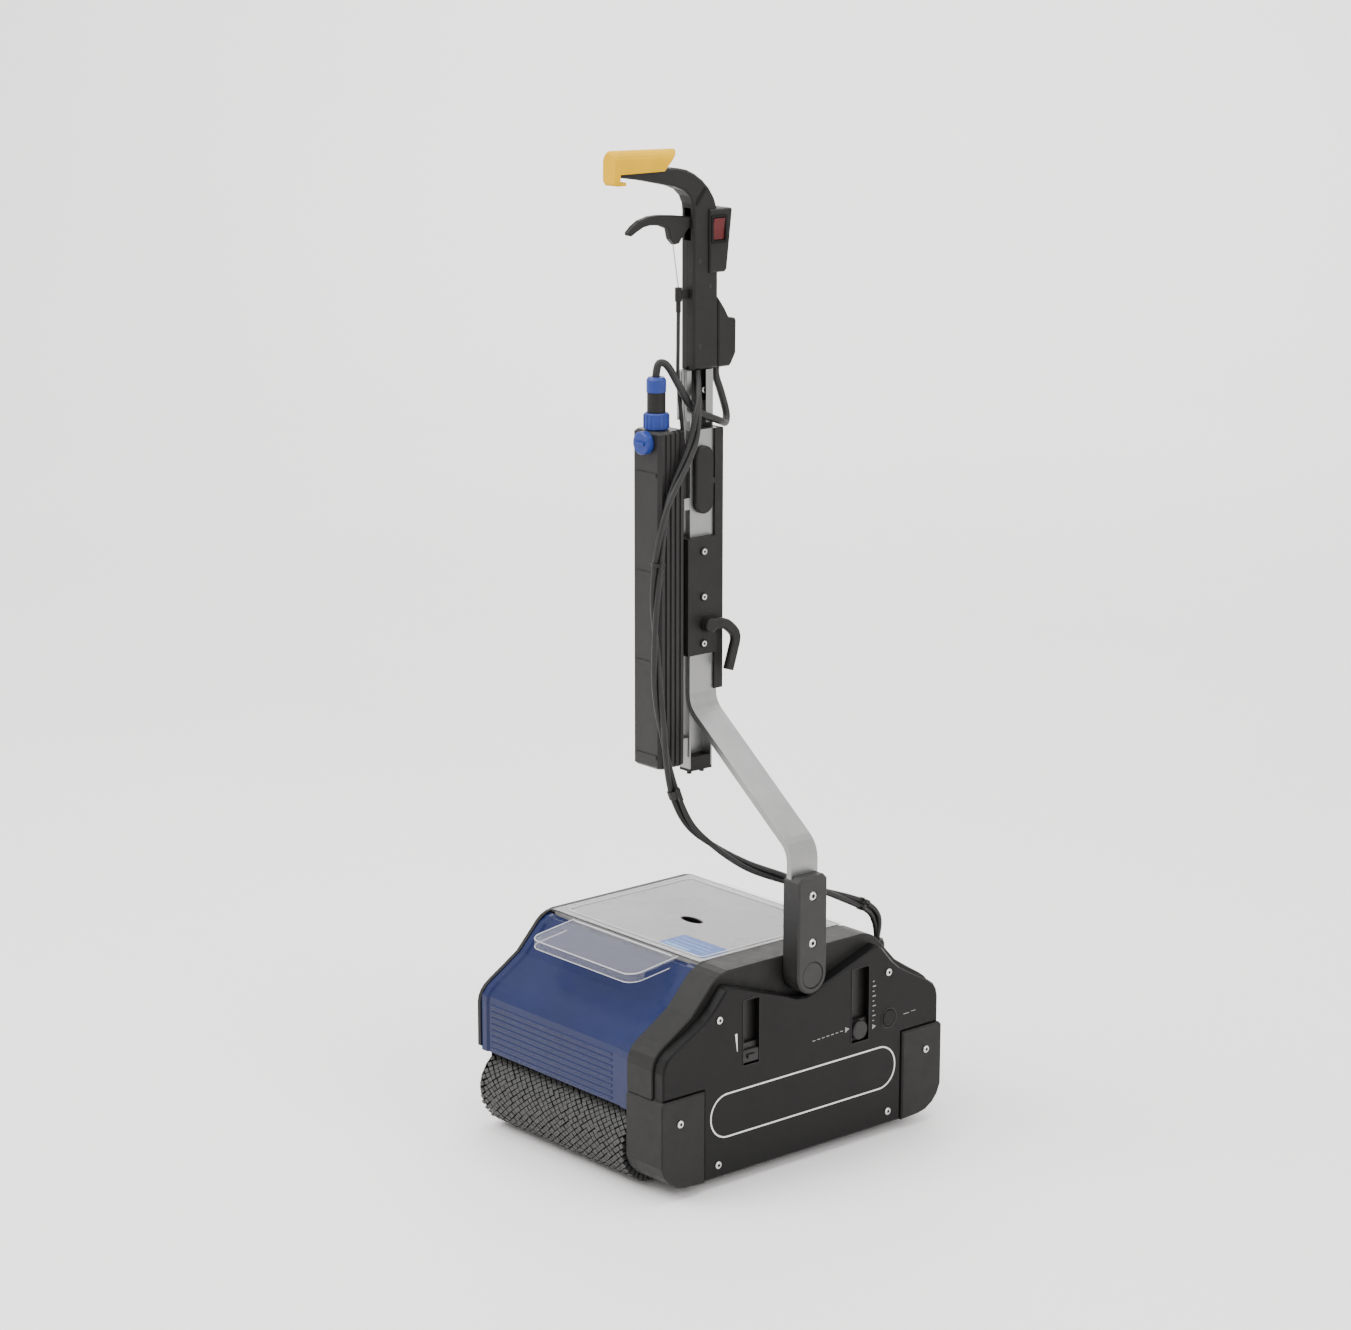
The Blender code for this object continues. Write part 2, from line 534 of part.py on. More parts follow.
# ---------------------------------------------------------------- hoods
HOOD_BOTTOM = 0.100
RIB_COUNT = 8
RIB_PITCH = 0.0078
RIB_DEEP = 0.0014
hood_slope = [(0.2140, 0.1800), (0.2050, 0.1863), (0.1850, 0.1985), (0.1630, 0.2125), (0.1460, 0.2305),
              (0.1320, 0.2450), (0.1220, 0.2510), (0.1150, 0.2527)]


def hood_ring(x, side, drop, ribs):
    """Section of a hood at x: its outer skin lowered by drop, with raised ribs."""
    face = BODY_HALF_DEPTH - 0.0015 - drop
    points = [(face, HOOD_BOTTOM)]
    for i in range(RIB_COUNT):
        z = HOOD_BOTTOM + 0.003 + i * RIB_PITCH
        points += [(face, z), (face + ribs, z + 0.0012), (face + ribs, z + 0.0030), (face, z + 0.0042)]
    points.append((face - 0.0010, 0.1700))
    points += [(y - drop * 0.55, z - drop * 0.8) for y, z in hood_slope]
    inner = [(0.1150, 0.2495), (0.1240, 0.2440), (0.1430, 0.2255), (0.1600, 0.2075), (0.1830, 0.1925),
             (0.2070, 0.1760), (0.2150, 0.1650), (0.2165, 0.1500), (0.2165, HOOD_BOTTOM)]
    return [(x, side * y, z) for y, z in points + [(y - drop * 0.5, z - drop * 0.6) for y, z in inner]]


RIM_DROP = 0.0
PANEL_DROP = 0.0025
hood_steps = [(INNER_X[0], RIM_DROP, 0.0), (-0.1620, RIM_DROP, 0.0), (-0.1590, PANEL_DROP, 0.0),
              (-0.1560, PANEL_DROP, 0.0), (-0.1540, PANEL_DROP, RIB_DEEP), (0.0730, PANEL_DROP, RIB_DEEP),
              (0.0750, PANEL_DROP, 0.0), (0.0880, PANEL_DROP, 0.0), (0.0910, RIM_DROP, 0.0), (INNER_X[1], RIM_DROP, 0.0)]
for label, side in (("front_hood", -1.0), ("rear_hood", 1.0)):
    loft(label, [hood_ring(x, side, drop, ribs) for x, drop, ribs in hood_steps], "blue")

# ---------------------------------------------------------------- water tank and clear lid
TANK_X = (-0.1685, 0.1025)
TANK_HALF = 0.110
LID_Z = (0.2540, BODY_TOP)
tank = box("water_tank", TANK_X, (-TANK_HALF, TANK_HALF), (PAN_Z[1] + GAP, LID_Z[0] - GAP), "clear", 0.0)
cut(tank, box("tank_hollow", (TANK_X[0] + WALL, TANK_X[1] - WALL), (-TANK_HALF + WALL, TANK_HALF - WALL),
              (PAN_Z[1] + GAP + WALL, LID_Z[0] + 0.004)))
lid = box("tank_lid", (INNER_X[0], INNER_X[1]), (-0.1135, 0.1135), LID_Z, "clear", 0.0006)
LIP_X = (-0.124, 0.070)
LIP_FRONT = 0.188
LIP_Z = 0.2440
LIP_THICK = 0.0026
LIP_DROP = 0.0085


def lip(name, x_low, x_high, reach, drop_to, corner=0.018):
    """Clear lip from the lid edge outwards (+ reach at the front is negative y), rounded at its corners."""
    sign = -1.0 if reach < 0 else 1.0
    depth = abs(reach)
    rings = [(x_low + corner * (1 - math.cos(math.radians(a))), depth - corner * (1 - math.sin(math.radians(a))))
             for a in (0, 30, 60, 90)]
    rings += [(x_low + x_high - x, y) for x, y in reversed(rings)]
    sections = []
    for x, y in rings:
        t = (y - 0.110) / (depth - 0.110)
        z = LID_Z[0] + 0.0004 + (drop_to - LID_Z[0]) * t
        sections.append([(x, sign * 0.110, LID_Z[0] + 0.0004), (x, sign * (y - LIP_THICK), z),
                         (x, sign * (y - LIP_THICK), z - LIP_DROP), (x, sign * y, z - LIP_DROP),
                         (x, sign * y, z + LIP_THICK), (x, sign * 0.110, LID_Z[1] - 0.0003)])
    return loft(name, sections)


join(lid, lip("front_lip", LIP_X[0], LIP_X[1], -LIP_FRONT, LIP_Z))
join(lid, box("rear_flange", (-0.118, 0.1000), (0.1125, 0.1220), (0.2548, 0.2566)))
CUP_AT = (-0.0245, -0.012)
lens = [(CUP_AT[0] + 0.0185 * math.cos(a), CUP_AT[1] + 0.0085 * math.sin(a))
        for a in (2 * math.pi * i / 20 for i in range(20))]
cut(lid, prism("lid_hole", "Z", inset(lens, -GAP), LID_Z[0] - 0.004, LID_Z[1] + 0.004))
cup = prism("finger_cup", "Z", lens, LID_Z[0] - 0.018, LID_Z[1] - 0.0002, "gloss_black")
cut(cup, prism("cup_hollow", "Z", inset(lens, 0.0015), LID_Z[0] - 0.0165, LID_Z[1] + 0.004))

# ---------------------------------------------------------------- controls in the side cover
GUIDE_X = (COVER_FACE_X - 0.0085, COVER_FACE_X - 0.0045)
slot_mid = (SLOT_FRONT[0][0] + SLOT_FRONT[0][1]) / 2
lever = box("pressure_lever", GUIDE_X, (slot_mid - 0.0165, slot_mid + 0.0165), (0.1435, 0.1675), "gloss_black")
join(lever, box("lever_thumb", (GUIDE_X[0] + 0.001, COVER_FACE_X - 0.0002),
                (SLOT_FRONT[0][0] + SLIDE_CLEAR, SLOT_FRONT[0][1] - SLIDE_CLEAR), (0.1440, 0.1600), None, 0.001),
     box("lever_nib", (COVER_FACE_X - 0.003, COVER_FACE_X + 0.0022), (slot_mid - 0.006, slot_mid + 0.006),
         (0.1500, 0.1545)))
knob_mid = (SLOT_REAR[0][0] + SLOT_REAR[0][1]) / 2
knob = box("flow_knob", GUIDE_X, (knob_mid - 0.018, knob_mid + 0.018), (0.1300, 0.1560), "gloss_black")
join(knob, turned("knob_grip", "X", (knob_mid, 0.1432), [(GUIDE_X[0] + 0.001, 0.0120), (COVER_FACE_X, 0.0120),
                                                       (COVER_FACE_X + 0.0012, 0.0108)]))
turned("push_button", "X", BUTTON_AT, [(COVER_FACE_X - 0.0080, 0.0130), (COVER_FACE_X - 0.0045, 0.0130),
                                       (COVER_FACE_X - 0.0045, BUTTON_R), (COVER_FACE_X + 0.0008, BUTTON_R),
                                       (COVER_FACE_X + 0.0016, BUTTON_R - 0.001)], "gloss_black")

# ---------------------------------------------------------------- pivot and arm
turned("pivot_shaft", "X", (0.0, PIVOT_Z), [(HOUSING_X[0] + 0.002, PIVOT_R), (SHOE_X[1] - 0.0032, PIVOT_R),
                                            (SHOE_X[1] - 0.0032, CAP_R - 0.0006), (SHOE_X[1] - 0.0008, CAP_R - 0.0006),
                                            (SHOE_X[1], CAP_R - 0.0016)], "black", 28)
foot = [(SHOE_HALF * math.cos(math.radians(a)), PIVOT_Z + SHOE_HALF * math.sin(math.radians(a)))
        for a in range(180, 361, 15)]
CHAMFER = 0.006
shoe_outline = foot + [(SHOE_HALF, SHOE_TOP - CHAMFER), (SHOE_HALF - CHAMFER, SHOE_TOP),
                       (CHAMFER - SHOE_HALF, SHOE_TOP), (-SHOE_HALF, SHOE_TOP - CHAMFER)]
shoe = prism("arm_shoe", "X", shoe_outline, SHOE_X[0], SHOE_X[1], "black", (0.0, 0.0022))
bar_span = (BAR_LOW_X - BAR_THICK / 2, BAR_LOW_X + BAR_THICK / 2)
BAR_BOTTOM = 0.262
cut(shoe,
    box("bar_pocket", (bar_span[0] - GAP, bar_span[1] + GAP), (-BAR_HALF - GAP, BAR_HALF + GAP),
        (BAR_BOTTOM - GAP, SHOE_TOP + 0.01)),
    turned("shoe_bore", "X", (0.0, PIVOT_Z), [(SHOE_X[0] - 0.002, PIVOT_R + GAP), (SHOE_X[1] - 0.0035, PIVOT_R + GAP)], None, 28),
    turned("cap_seat", "X", (0.0, PIVOT_Z), [(SHOE_X[1] - 0.0036, CAP_R), (SHOE_X[1] + 0.002, CAP_R)], None, 28))
pivot(shoe, (0.0, 0.0, PIVOT_Z))
bar_path = soften([(BAR_LOW_X, BAR_BOTTOM), (BAR_LOW_X, 0.387), (BAR_HIGH_X, 0.527), (BAR_HIGH_X, BAR_TOP)], 0.016)
bar = prism("arm_bar", "Y", ribbon(bar_path, BAR_THICK), -BAR_HALF, BAR_HALF, "aluminium")
for label, z in (("shoe_screw_lower", 0.2745), ("shoe_screw_upper", 0.3325)):
    hole = [(bar_span[0] - 0.001, 0.0025), (SHOE_X[1] + 0.002, 0.0025)]
    cut(shoe, turned(label + "_shoe_hole", "X", (0.0, z), hole, None, 12))
    cut(bar, turned(label + "_bar_hole", "X", (0.0, z), hole, None, 12))
    cut(shoe, turned(label + "_seat", "X", (0.0, z), [(SHOE_X[1] - 0.0022, 0.0060), (SHOE_X[1] + 0.002, 0.0060)], None, 16))
    screw(label, (0.0, z), SHOE_X[1] - 0.0022, SHOE_X[1] - bar_span[0] - 0.0027, "steel", 0.0056)

BAR_FACE = BAR_HIGH_X + BAR_THICK / 2
BAR_BACK = BAR_HIGH_X - BAR_THICK / 2
RAIL_Z = (0.5450, BAR_TOP)
rail_outline = [(MAST_X[0], MAST_Y[1] + GAP), (MAST_X[0], 0.0285), (BAR_FACE + 0.003, 0.0285),
                (BAR_FACE + 0.003, 0.0155), (BAR_FACE + GAP, 0.0155), (BAR_FACE + GAP, MAST_Y[1] + GAP)]
prism("rear_rail", "Z", rail_outline[::-1], RAIL_Z[0], RAIL_Z[1], "black")

# ---------------------------------------------------------------- mast
mast_outline = [(MAST_X[0], MAST_Y[0]), (MAST_X[1], MAST_Y[0]), (MAST_X[1], MAST_Y[0] + MAST_WALL),
                (MAST_X[0] + MAST_WALL, MAST_Y[0] + MAST_WALL), (MAST_X[0] + MAST_WALL, MAST_Y[1] - MAST_WALL),
                (MAST_X[1], MAST_Y[1] - MAST_WALL), (MAST_X[1], MAST_Y[1]), (MAST_X[0], MAST_Y[1])]
mast = prism("mast_channel", "Z", mast_outline, MAST_Z[0], MAST_Z[1], "aluminium")
MAST_IN_X = MAST_X[0] + MAST_WALL + GAP
MAST_IN_Y = (MAST_Y[0] + MAST_WALL + GAP, MAST_Y[1] - MAST_WALL - GAP)
plug = box("mast_end_cap", (MAST_IN_X, MAST_X[1] - GAP), MAST_IN_Y, (MAST_Z[0] - 0.001, MAST_Z[0] + 0.014), "black")
join(plug, box("end_plate", MAST_X, MAST_Y, (MAST_Z[0] - 0.0035, MAST_Z[0] - GAP)))
for y in (-0.006, 0.014):
    join(plug, turned("foot_stud_%d" % (y * 1000), "Z", (HEAD_X, y), [(MAST_Z[0] - 0.0085, 0.0030), (MAST_Z[0] - 0.002, 0.0030)], None, 12))

MOUNT_X = (-0.0440, -0.0290)
mounts = []
for label, z in (("lower_mount", (0.462, 0.486)), ("upper_mount", (0.768, 0.846))):
    mounts.append(box(label, MOUNT_X, (BATTERY_Y[1] + GAP, MAST_Y[0] + 0.001), z))
mounts.append(box("cable_stop", (-0.0300, -0.0185), (-0.0305, MAST_Y[0] - 0.0080), (0.768, 0.7820)))
join(mast, *mounts)
BOLT_AT = (0.0135, 0.906)
SPIGOT_X = (MAST_IN_X, -0.0350)
SPIGOT_Z = 0.893
bolt = [(MAST_X[0] + GAP, 0.0020), (SPIGOT_X[1] + GAP, 0.0020), (SPIGOT_X[1] + GAP, 0.0042),
        (SPIGOT_X[1] + 0.0030, 0.0042), (SPIGOT_X[1] + 0.0038, 0.0032)]
turned("mast_bolt", "X", BOLT_AT, bolt, "steel", 12)
cut(mast, turned("mast_bolt_hole", "X", BOLT_AT, [(MAST_X[0] - 0.002, 0.0023), (MAST_X[0] + 0.004, 0.0023)], None, 12))

# ---------------------------------------------------------------- clamp bracket and lever
BRACKET_X = (MAST_X[0] - 0.006, BAR_FACE + GAP + 0.0085)
BRACKET_Y = (BATTERY_Y[1] + 0.0012, 0.0140)
bracket_outline = [(BRACKET_X[0], BRACKET_Y[0]), (BRACKET_X[1], BRACKET_Y[0]), (BRACKET_X[1], BRACKET_Y[1]),
                   (BAR_FACE + GAP, BRACKET_Y[1]), (BAR_FACE + GAP, -BAR_HALF - GAP),
                   (BAR_BACK - 0.0003, -BAR_HALF - GAP), (BAR_BACK - 0.0003, MAST_Y[0] - SLIDE_CLEAR),
                   (MAST_X[0] - SLIDE_CLEAR, MAST_Y[0] - SLIDE_CLEAR), (MAST_X[0] - SLIDE_CLEAR, 0.0180),
                   (BRACKET_X[0], 0.0180)]
bracket = prism("clamp_bracket", "Z", bracket_outline, BRACKET_Z[0], BRACKET_Z[1], "black")
for i, z in enumerate((0.605, 0.662, 0.717)):
    head = [(BRACKET_X[1] - 0.002, 0.0052), (BRACKET_X[1] + 0.0014, 0.0052), (BRACKET_X[1] + 0.0020, 0.0042)]
    join(bracket, turned("bracket_screw_%d" % i, "X", (-0.0070, z), head, None, 16))
HUB_X = (BRACKET_X[1] + GAP, BRACKET_X[1] + 0.0110)
cut(bracket, turned("hub_hole", "X", CLAMP_HUB, [(BRACKET_X[1] - 0.004, 0.0033), (BRACKET_X[1] + 0.002, 0.0033)], None, 16))
lever_path = soften([(-0.004, 0.6286), (0.0200, 0.6288), (0.0400, 0.6110), (0.0265, 0.5690)], 0.010, 3)
clamp = prism("clamp_lever", "X", ribbon(lever_path, 0.0125), HUB_X[0] + 0.003, HUB_X[1], "black", (0.001, 0.0015))
join(clamp, turned("lever_hub", "X", CLAMP_HUB, [(HUB_X[0] - 0.0035, 0.0030), (HUB_X[0], 0.0030), (HUB_X[0], 0.0088),
                                               (HUB_X[1] + 0.001, 0.0088), (HUB_X[1] + 0.002, 0.0075)]))
pivot(clamp, (0.0, *CLAMP_HUB))

oval = stadium((-0.003, 0.7756), 0.0140, (-0.003, 0.8293), 0.0140)
oval_cover = prism("oval_cover", "X", oval, BAR_FACE + GAP, BAR_FACE + 0.0070, "black", (0.0, 0.0015))
join(oval_cover, box("oval_latch", (BAR_FACE + GAP, BAR_FACE + 0.0055), (0.0080, 0.0150), (0.7965, 0.8035)))

# ---------------------------------------------------------------- battery pack
def battery_ring(z, shrink):
    """Plan of the battery pack with vertical grooves on its +X face."""
    x0, x1 = BATTERY_X[0] + shrink, BATTERY_X[1] - shrink
    y0, y1 = BATTERY_Y[0] + shrink, BATTERY_Y[1] - shrink
    ease = 0.004
    points = [(x0, y0 + ease), (x0 + ease, y0), (x1 - ease, y0), (x1, y0 + ease)]
    groove = (y1 - y0 - 2 * ease) / 9
    for k in range(4):
        y = y0 + ease + groove * (1 + 2 * k)
        points += [(x1, y), (x1 - 0.0016, y + 0.0008), (x1 - 0.0016, y + groove - 0.0008), (x1, y + groove)]
    points += [(x1, y1 - ease), (x1 - ease, y1), (x0 + ease, y1), (x0, y1 - ease)]
    return [(x, y, z) for x, y in points]


battery_steps = [(BATTERY_Z[0], 0.003), (BATTERY_Z[0] + 0.003, 0.0), (BATTERY_Z[1] - 0.003, 0.0), (BATTERY_Z[1], 0.003)]
battery = loft("battery_case", [battery_ring(z, s) for z, s in battery_steps], "black")
GAUGE_AT = (HEAD_X, 0.852)
cut(battery, turned("gauge_seat", "Y", GAUGE_AT, [(BATTERY_Y[0] - 0.002, 0.0100), (BATTERY_Y[0] + 0.006, 0.0100)]))
turned("battery_gauge", "Y", GAUGE_AT, [(BATTERY_Y[0] + 0.0057, 0.0100 - GAP), (BATTERY_Y[0] - GAP, 0.0100 - GAP),
                                        (BATTERY_Y[0] - GAP, 0.0138), (BATTERY_Y[0] - 0.0085, 0.0138),
                                        (BATTERY_Y[0] - 0.0100, 0.0122)], "connector")
PLUG_AT = (HEAD_X, PLUG_Y)
RING_Z = (BATTERY_Z[1] + GAP, 0.886)
BODY_Z = (RING_Z[1] + GAP, 0.910)
CAP_Z = (BODY_Z[1] + GAP, 0.928)
turned("plug_ring", "Z", PLUG_AT, [(RING_Z[0], 0.0132), (RING_Z[0] + 0.0012, 0.0147), (RING_Z[1] - 0.0012, 0.0147),
                                   (RING_Z[1], 0.0135)], "connector")
turned("plug_body", "Z", PLUG_AT, [(BODY_Z[0], 0.0110), (BODY_Z[1], 0.0110)], "black")
plug_cap = turned("plug_cap", "Z", PLUG_AT, [(CAP_Z[0], 0.0117), (CAP_Z[1] - 0.003, 0.0117), (CAP_Z[1], 0.0095)], "connector")
LEAD_START = 0.9203
cut(plug_cap, turned("lead_socket", "Z", PLUG_AT, [(LEAD_START - GAP, LEAD_R + GAP), (CAP_Z[1] + 0.002, LEAD_R + GAP)], None, 16))

# ---------------------------------------------------------------- head
head_outline = [(-0.0100, HEAD_BOTTOM), (0.0280, HEAD_BOTTOM), (0.0280, 1.1090), (0.0268, 1.1200), (0.0225, 1.1320),
                (0.0140, 1.1445), (0.0040, 1.1540), (-0.0080, 1.1620), (-0.0200, 1.1675), (-0.0340, 1.1705),
                (-0.1150, 1.1710), (-0.1220, 1.1690), (-0.1225, 1.1665), (-0.1180, 1.1640), (-0.0820, 1.1585),
                (-0.0370, 1.1490), (-0.0240, 1.1440), (-0.0155, 1.1365), (-0.0110, 1.1270), (-0.0100, 1.1180)]
head_hollow = [(-0.0075, HEAD_BOTTOM + HEAD_WALL), (0.0255, HEAD_BOTTOM + HEAD_WALL), (0.0255, 1.1085), (0.0244, 1.1190),
               (0.0203, 1.1305), (0.0123, 1.1425), (0.0026, 1.1517), (-0.0090, 1.1595), (-0.0210, 1.1650),
               (-0.0345, 1.1680), (-0.0900, 1.1685), (-0.0900, 1.1625), (-0.0365, 1.1515), (-0.0226, 1.1462),
               (-0.0133, 1.1380), (-0.0086, 1.1275), (-0.0075, 1.1180)]
HALF_GAP = GAP / 2
SIDES = {"head_shell_left": (HEAD_X - HEAD_HALF, HEAD_X - HALF_GAP), "head_shell_right": (HEAD_X + HALF_GAP, HEAD_X + HEAD_HALF)}
for label, span in SIDES.items():
    left = label.endswith("left")
    ease = (0.0022, 0.0) if left else (0.0, 0.0022)
    inner = (span[0] + HEAD_WALL, span[1] + 0.002) if left else (span[0] - 0.002, span[1] - HEAD_WALL)
    shell = prism(label, "X", head_outline, span[0], span[1], "black", ease)
    cut(shell,
        prism(label + "_hollow", "X", head_hollow, inner[0], inner[1]),
        box(label + "_slot", (HEAD_X - 0.0058, HEAD_X + 0.0058), (-0.013, -0.005), (1.0840, 1.1220)),
        box(label + "_switch_gap", (span[0] - 0.003, span[1] + 0.003), (SWITCH_Y[0] - GAP, 0.040),
            (SWITCH_Z[0] - GAP, SWITCH_Z[1] + GAP)))
    if left:
        join(shell, box("spigot", (SPIGOT_X[0], SPIGOT_X[1]), MAST_IN_Y, (SPIGOT_Z, HEAD_BOTTOM + 0.002)),
             turned("trigger_pin", "X", TRIGGER_PIVOT, [(span[0] + 0.001, 0.0025), (HEAD_X + 0.0075, 0.0025)], None, 16))
        cut(shell, turned("spigot_hole", "X", BOLT_AT, [(SPIGOT_X[0] - 0.002, 0.0023), (SPIGOT_X[1] + 0.002, 0.0023)], None, 12),
            box("spigot_split", (HEAD_X - HALF_GAP, HEAD_X + 0.02), (-0.02, 0.04), (HEAD_BOTTOM - GAP, HEAD_BOTTOM + 0.02)))
    else:
        cut(shell, box("spigot_relief", (HEAD_X - 0.002, SPIGOT_X[1] + GAP), (MAST_IN_Y[0] - GAP, MAST_IN_Y[1] + GAP),
                       (HEAD_BOTTOM - 0.002, HEAD_BOTTOM + 0.004)))

LEG_Z = 1.1683
GRIP_Y = (-0.1290, -0.0260)
GRIP_REAR_TOP = 1.1920


def half_round(radius, top, angles):
    """Points on the round top of the grip, as (x, z)."""
    return [(HEAD_X + radius * math.cos(math.radians(a)), top - GRIP_R + radius * math.sin(math.radians(a)))
            for a in angles]


def grip_ring(y, top):
    """Section of the open grip cover at y, with its top at this height."""
    line = [(HEAD_X - GRIP_R, LEG_Z), (HEAD_X - GRIP_R + GRIP_WALL, LEG_Z)]
    line += half_round(GRIP_R - GRIP_WALL, top, range(180, -1, -18))
    line += [(HEAD_X + GRIP_R - GRIP_WALL, LEG_Z), (HEAD_X + GRIP_R, LEG_Z)]
    line += half_round(GRIP_R, top, range(0, 181, 18))
    return [(x, y, z) for x, z in line]


grip = loft("grip_cover", [grip_ring(GRIP_Y[0] + 0.003, OVERALL_TOP), grip_ring(GRIP_Y[1], GRIP_REAR_TOP)], "yellow")
nose = half_round(GRIP_R, OVERALL_TOP, range(0, 181, 18))
nose += [(HEAD_X - GRIP_R, 1.1590), (HEAD_X - GRIP_R + 0.004, 1.1550), (HEAD_X + GRIP_R - 0.004, 1.1550),
         (HEAD_X + GRIP_R, 1.1590)]
join(grip, prism("grip_nose", "Y", nose, GRIP_Y[0], GRIP_Y[0] + 0.0060, None, (0.003, 0.0)),
     box("grip_chin", (HEAD_X - GRIP_R + 0.002, HEAD_X + GRIP_R - 0.002), (GRIP_Y[0] + 0.004, -0.1130), (1.1550, 1.1590)))
cut(grip, prism("grip_mouth", "X", [(-0.0590, 1.1660), (-0.0100, 1.1660), (-0.0100, 1.2000), (-0.0250, 1.2000)],
                HEAD_X - 0.020, HEAD_X + 0.020))

# ---------------------------------------------------------------- trigger, wire and adjuster
lever_top = [(-0.0200, 1.1135), (-0.0310, 1.1150), (-0.0560, 1.1170), (-0.0700, 1.1165), (-0.0860, 1.1125),
             (-0.0960, 1.1065), (-0.1030, 1.1000)]
lever_low = [(-0.1025, 1.0965), (-0.0985, 1.0955), (-0.0900, 1.1000), (-0.0800, 1.1045), (-0.0700, 1.1060),
             (-0.0560, 1.1050), (-0.0430, 1.1000), (-0.0400, 1.0880), (-0.0330, 1.0810), (-0.0260, 1.0820),
             (-0.0215, 1.0880), (-0.0120, 1.0980), (-0.0060, 1.0985)]
TRIGGER_X = (HEAD_X - 0.0050, HEAD_X + 0.0050)
trigger_outline = [(-0.0060, 1.1115), (-0.0120, 1.1125)] + lever_top + lever_low
trigger = prism("trigger_lever", "X", trigger_outline, TRIGGER_X[0], TRIGGER_X[1], "black", (0.0016, 0.0016))
join(trigger, turned("trigger_eye", "X", TRIGGER_PIVOT, [(TRIGGER_X[0] + 0.0005, 0.0068), (TRIGGER_X[1] - 0.0005, 0.0068)]))
cut(trigger, turned("trigger_bore", "X", TRIGGER_PIVOT, [(TRIGGER_X[0] - 0.002, 0.0028), (TRIGGER_X[1] + 0.002, 0.0028)], None, 16))
pivot(trigger, (0.0, *TRIGGER_PIVOT))

ADJUSTER_Y = -0.0240
cable("trigger_wire", [(HEAD_X, -0.0325, 1.0805), (HEAD_X, -0.0285, 1.0560), (HEAD_X, ADJUSTER_Y, 1.0303)], WIRE_R, 0.012, 2, "steel")
adjuster = turned("cable_adjuster", "Z", (HEAD_X, ADJUSTER_Y), [(1.0010, 0.0030), (1.0137, 0.0030), (1.0137, 0.0042),
                                                              (1.0300, 0.0042)], "black", 16)
join(adjuster, box("adjuster_foot", (HEAD_X - 0.003, HEAD_X + 0.003), (ADJUSTER_Y + 0.002, -0.0100 - GAP), (1.0160, 1.0270)))
cable("bowden_cable", [(HEAD_X, ADJUSTER_Y, 1.0007), (HEAD_X + 0.0005, -0.0248, 0.9650), (-0.0345, -0.0265, 0.9200),
                       (-0.0275, -0.0272, 0.8750), (-0.0240, -0.0268, 0.8300), (-0.0235, -0.0265, 0.7823)],
      BOWDEN_R, 0.014, 2, "rubber")

# ---------------------------------------------------------------- switch box, rocker and lower box
SWITCH_X = (HEAD_X - 0.0135, HEAD_X + 0.0145)
SWITCH_FOOT_Y = 0.0395        # the rear face leans in towards the bottom
switch_outline = [(SWITCH_Y[0], SWITCH_Z[0]), (SWITCH_FOOT_Y - 0.003, SWITCH_Z[0]), (SWITCH_FOOT_Y, SWITCH_Z[0] + 0.003),
                  (SWITCH_Y[1], SWITCH_Z[1] - 0.002), (SWITCH_Y[1] - 0.002, SWITCH_Z[1]), (SWITCH_Y[0], SWITCH_Z[1])]
switch = prism("switch_box", "X", switch_outline, SWITCH_X[0], SWITCH_X[1], "black", (0.0015, 0.0015))
ROCKER_HALF_Y = 0.0085
ROCKER_HALF_Z = 0.0125
cut(switch,
    box("switch_hollow", (SWITCH_X[0] + 0.002, SWITCH_X[1] - 0.002), (SWITCH_Y[0] - 0.004, SWITCH_FOOT_Y - 0.003),
        (SWITCH_Z[0] + 0.002, SWITCH_Z[1] - 0.002)),
    box("rocker_window", (SWITCH_X[1] - 0.006, SWITCH_X[1] + 0.002),
        (ROCKER_CENTRE[0] - ROCKER_HALF_Y - 0.0006, ROCKER_CENTRE[0] + ROCKER_HALF_Y + 0.0006),
        (ROCKER_CENTRE[1] - ROCKER_HALF_Z - 0.0008, ROCKER_CENTRE[1] + ROCKER_HALF_Z + 0.0008)))
ROCKER_X = SWITCH_X[1] - 0.0010
rocker_outline = [(ROCKER_X - 0.007, ROCKER_CENTRE[1] - 0.0100), (ROCKER_X - 0.007, ROCKER_CENTRE[1] + 0.0100),
                  (ROCKER_X - 0.002, ROCKER_CENTRE[1] + ROCKER_HALF_Z), (ROCKER_X + 0.0025, ROCKER_CENTRE[1] + ROCKER_HALF_Z),
                  (ROCKER_X + 0.0008, ROCKER_CENTRE[1]), (ROCKER_X, ROCKER_CENTRE[1] - ROCKER_HALF_Z),
                  (ROCKER_X - 0.002, ROCKER_CENTRE[1] - ROCKER_HALF_Z)]
rocker = prism("rocker_switch", "Y", rocker_outline, ROCKER_CENTRE[0] - ROCKER_HALF_Y, ROCKER_CENTRE[0] + ROCKER_HALF_Y, "red")
pivot(rocker, (ROCKER_X, ROCKER_CENTRE[0], ROCKER_CENTRE[1]))

lower_outline = [(0.0283, HEAD_BOTTOM), (0.0470, HEAD_BOTTOM), (0.0500, 0.9350), (0.0568, 0.9470), (0.0572, 0.9850),
                 (0.0555, 0.9885), (0.0455, 0.9905), (0.0400, 1.0000), (0.0335, 1.0090), (0.0283, 1.0155)]
lower = prism("lower_box", "X", lower_outline, HEAD_X - HEAD_HALF, HEAD_X + HEAD_HALF, "black", (0.0018, 0.0018))
cut(lower, box("lower_hollow", (HEAD_X - 0.0090, HEAD_X + 0.0090), (0.0270, 0.0355), (HEAD_BOTTOM + 0.004, 0.984)))

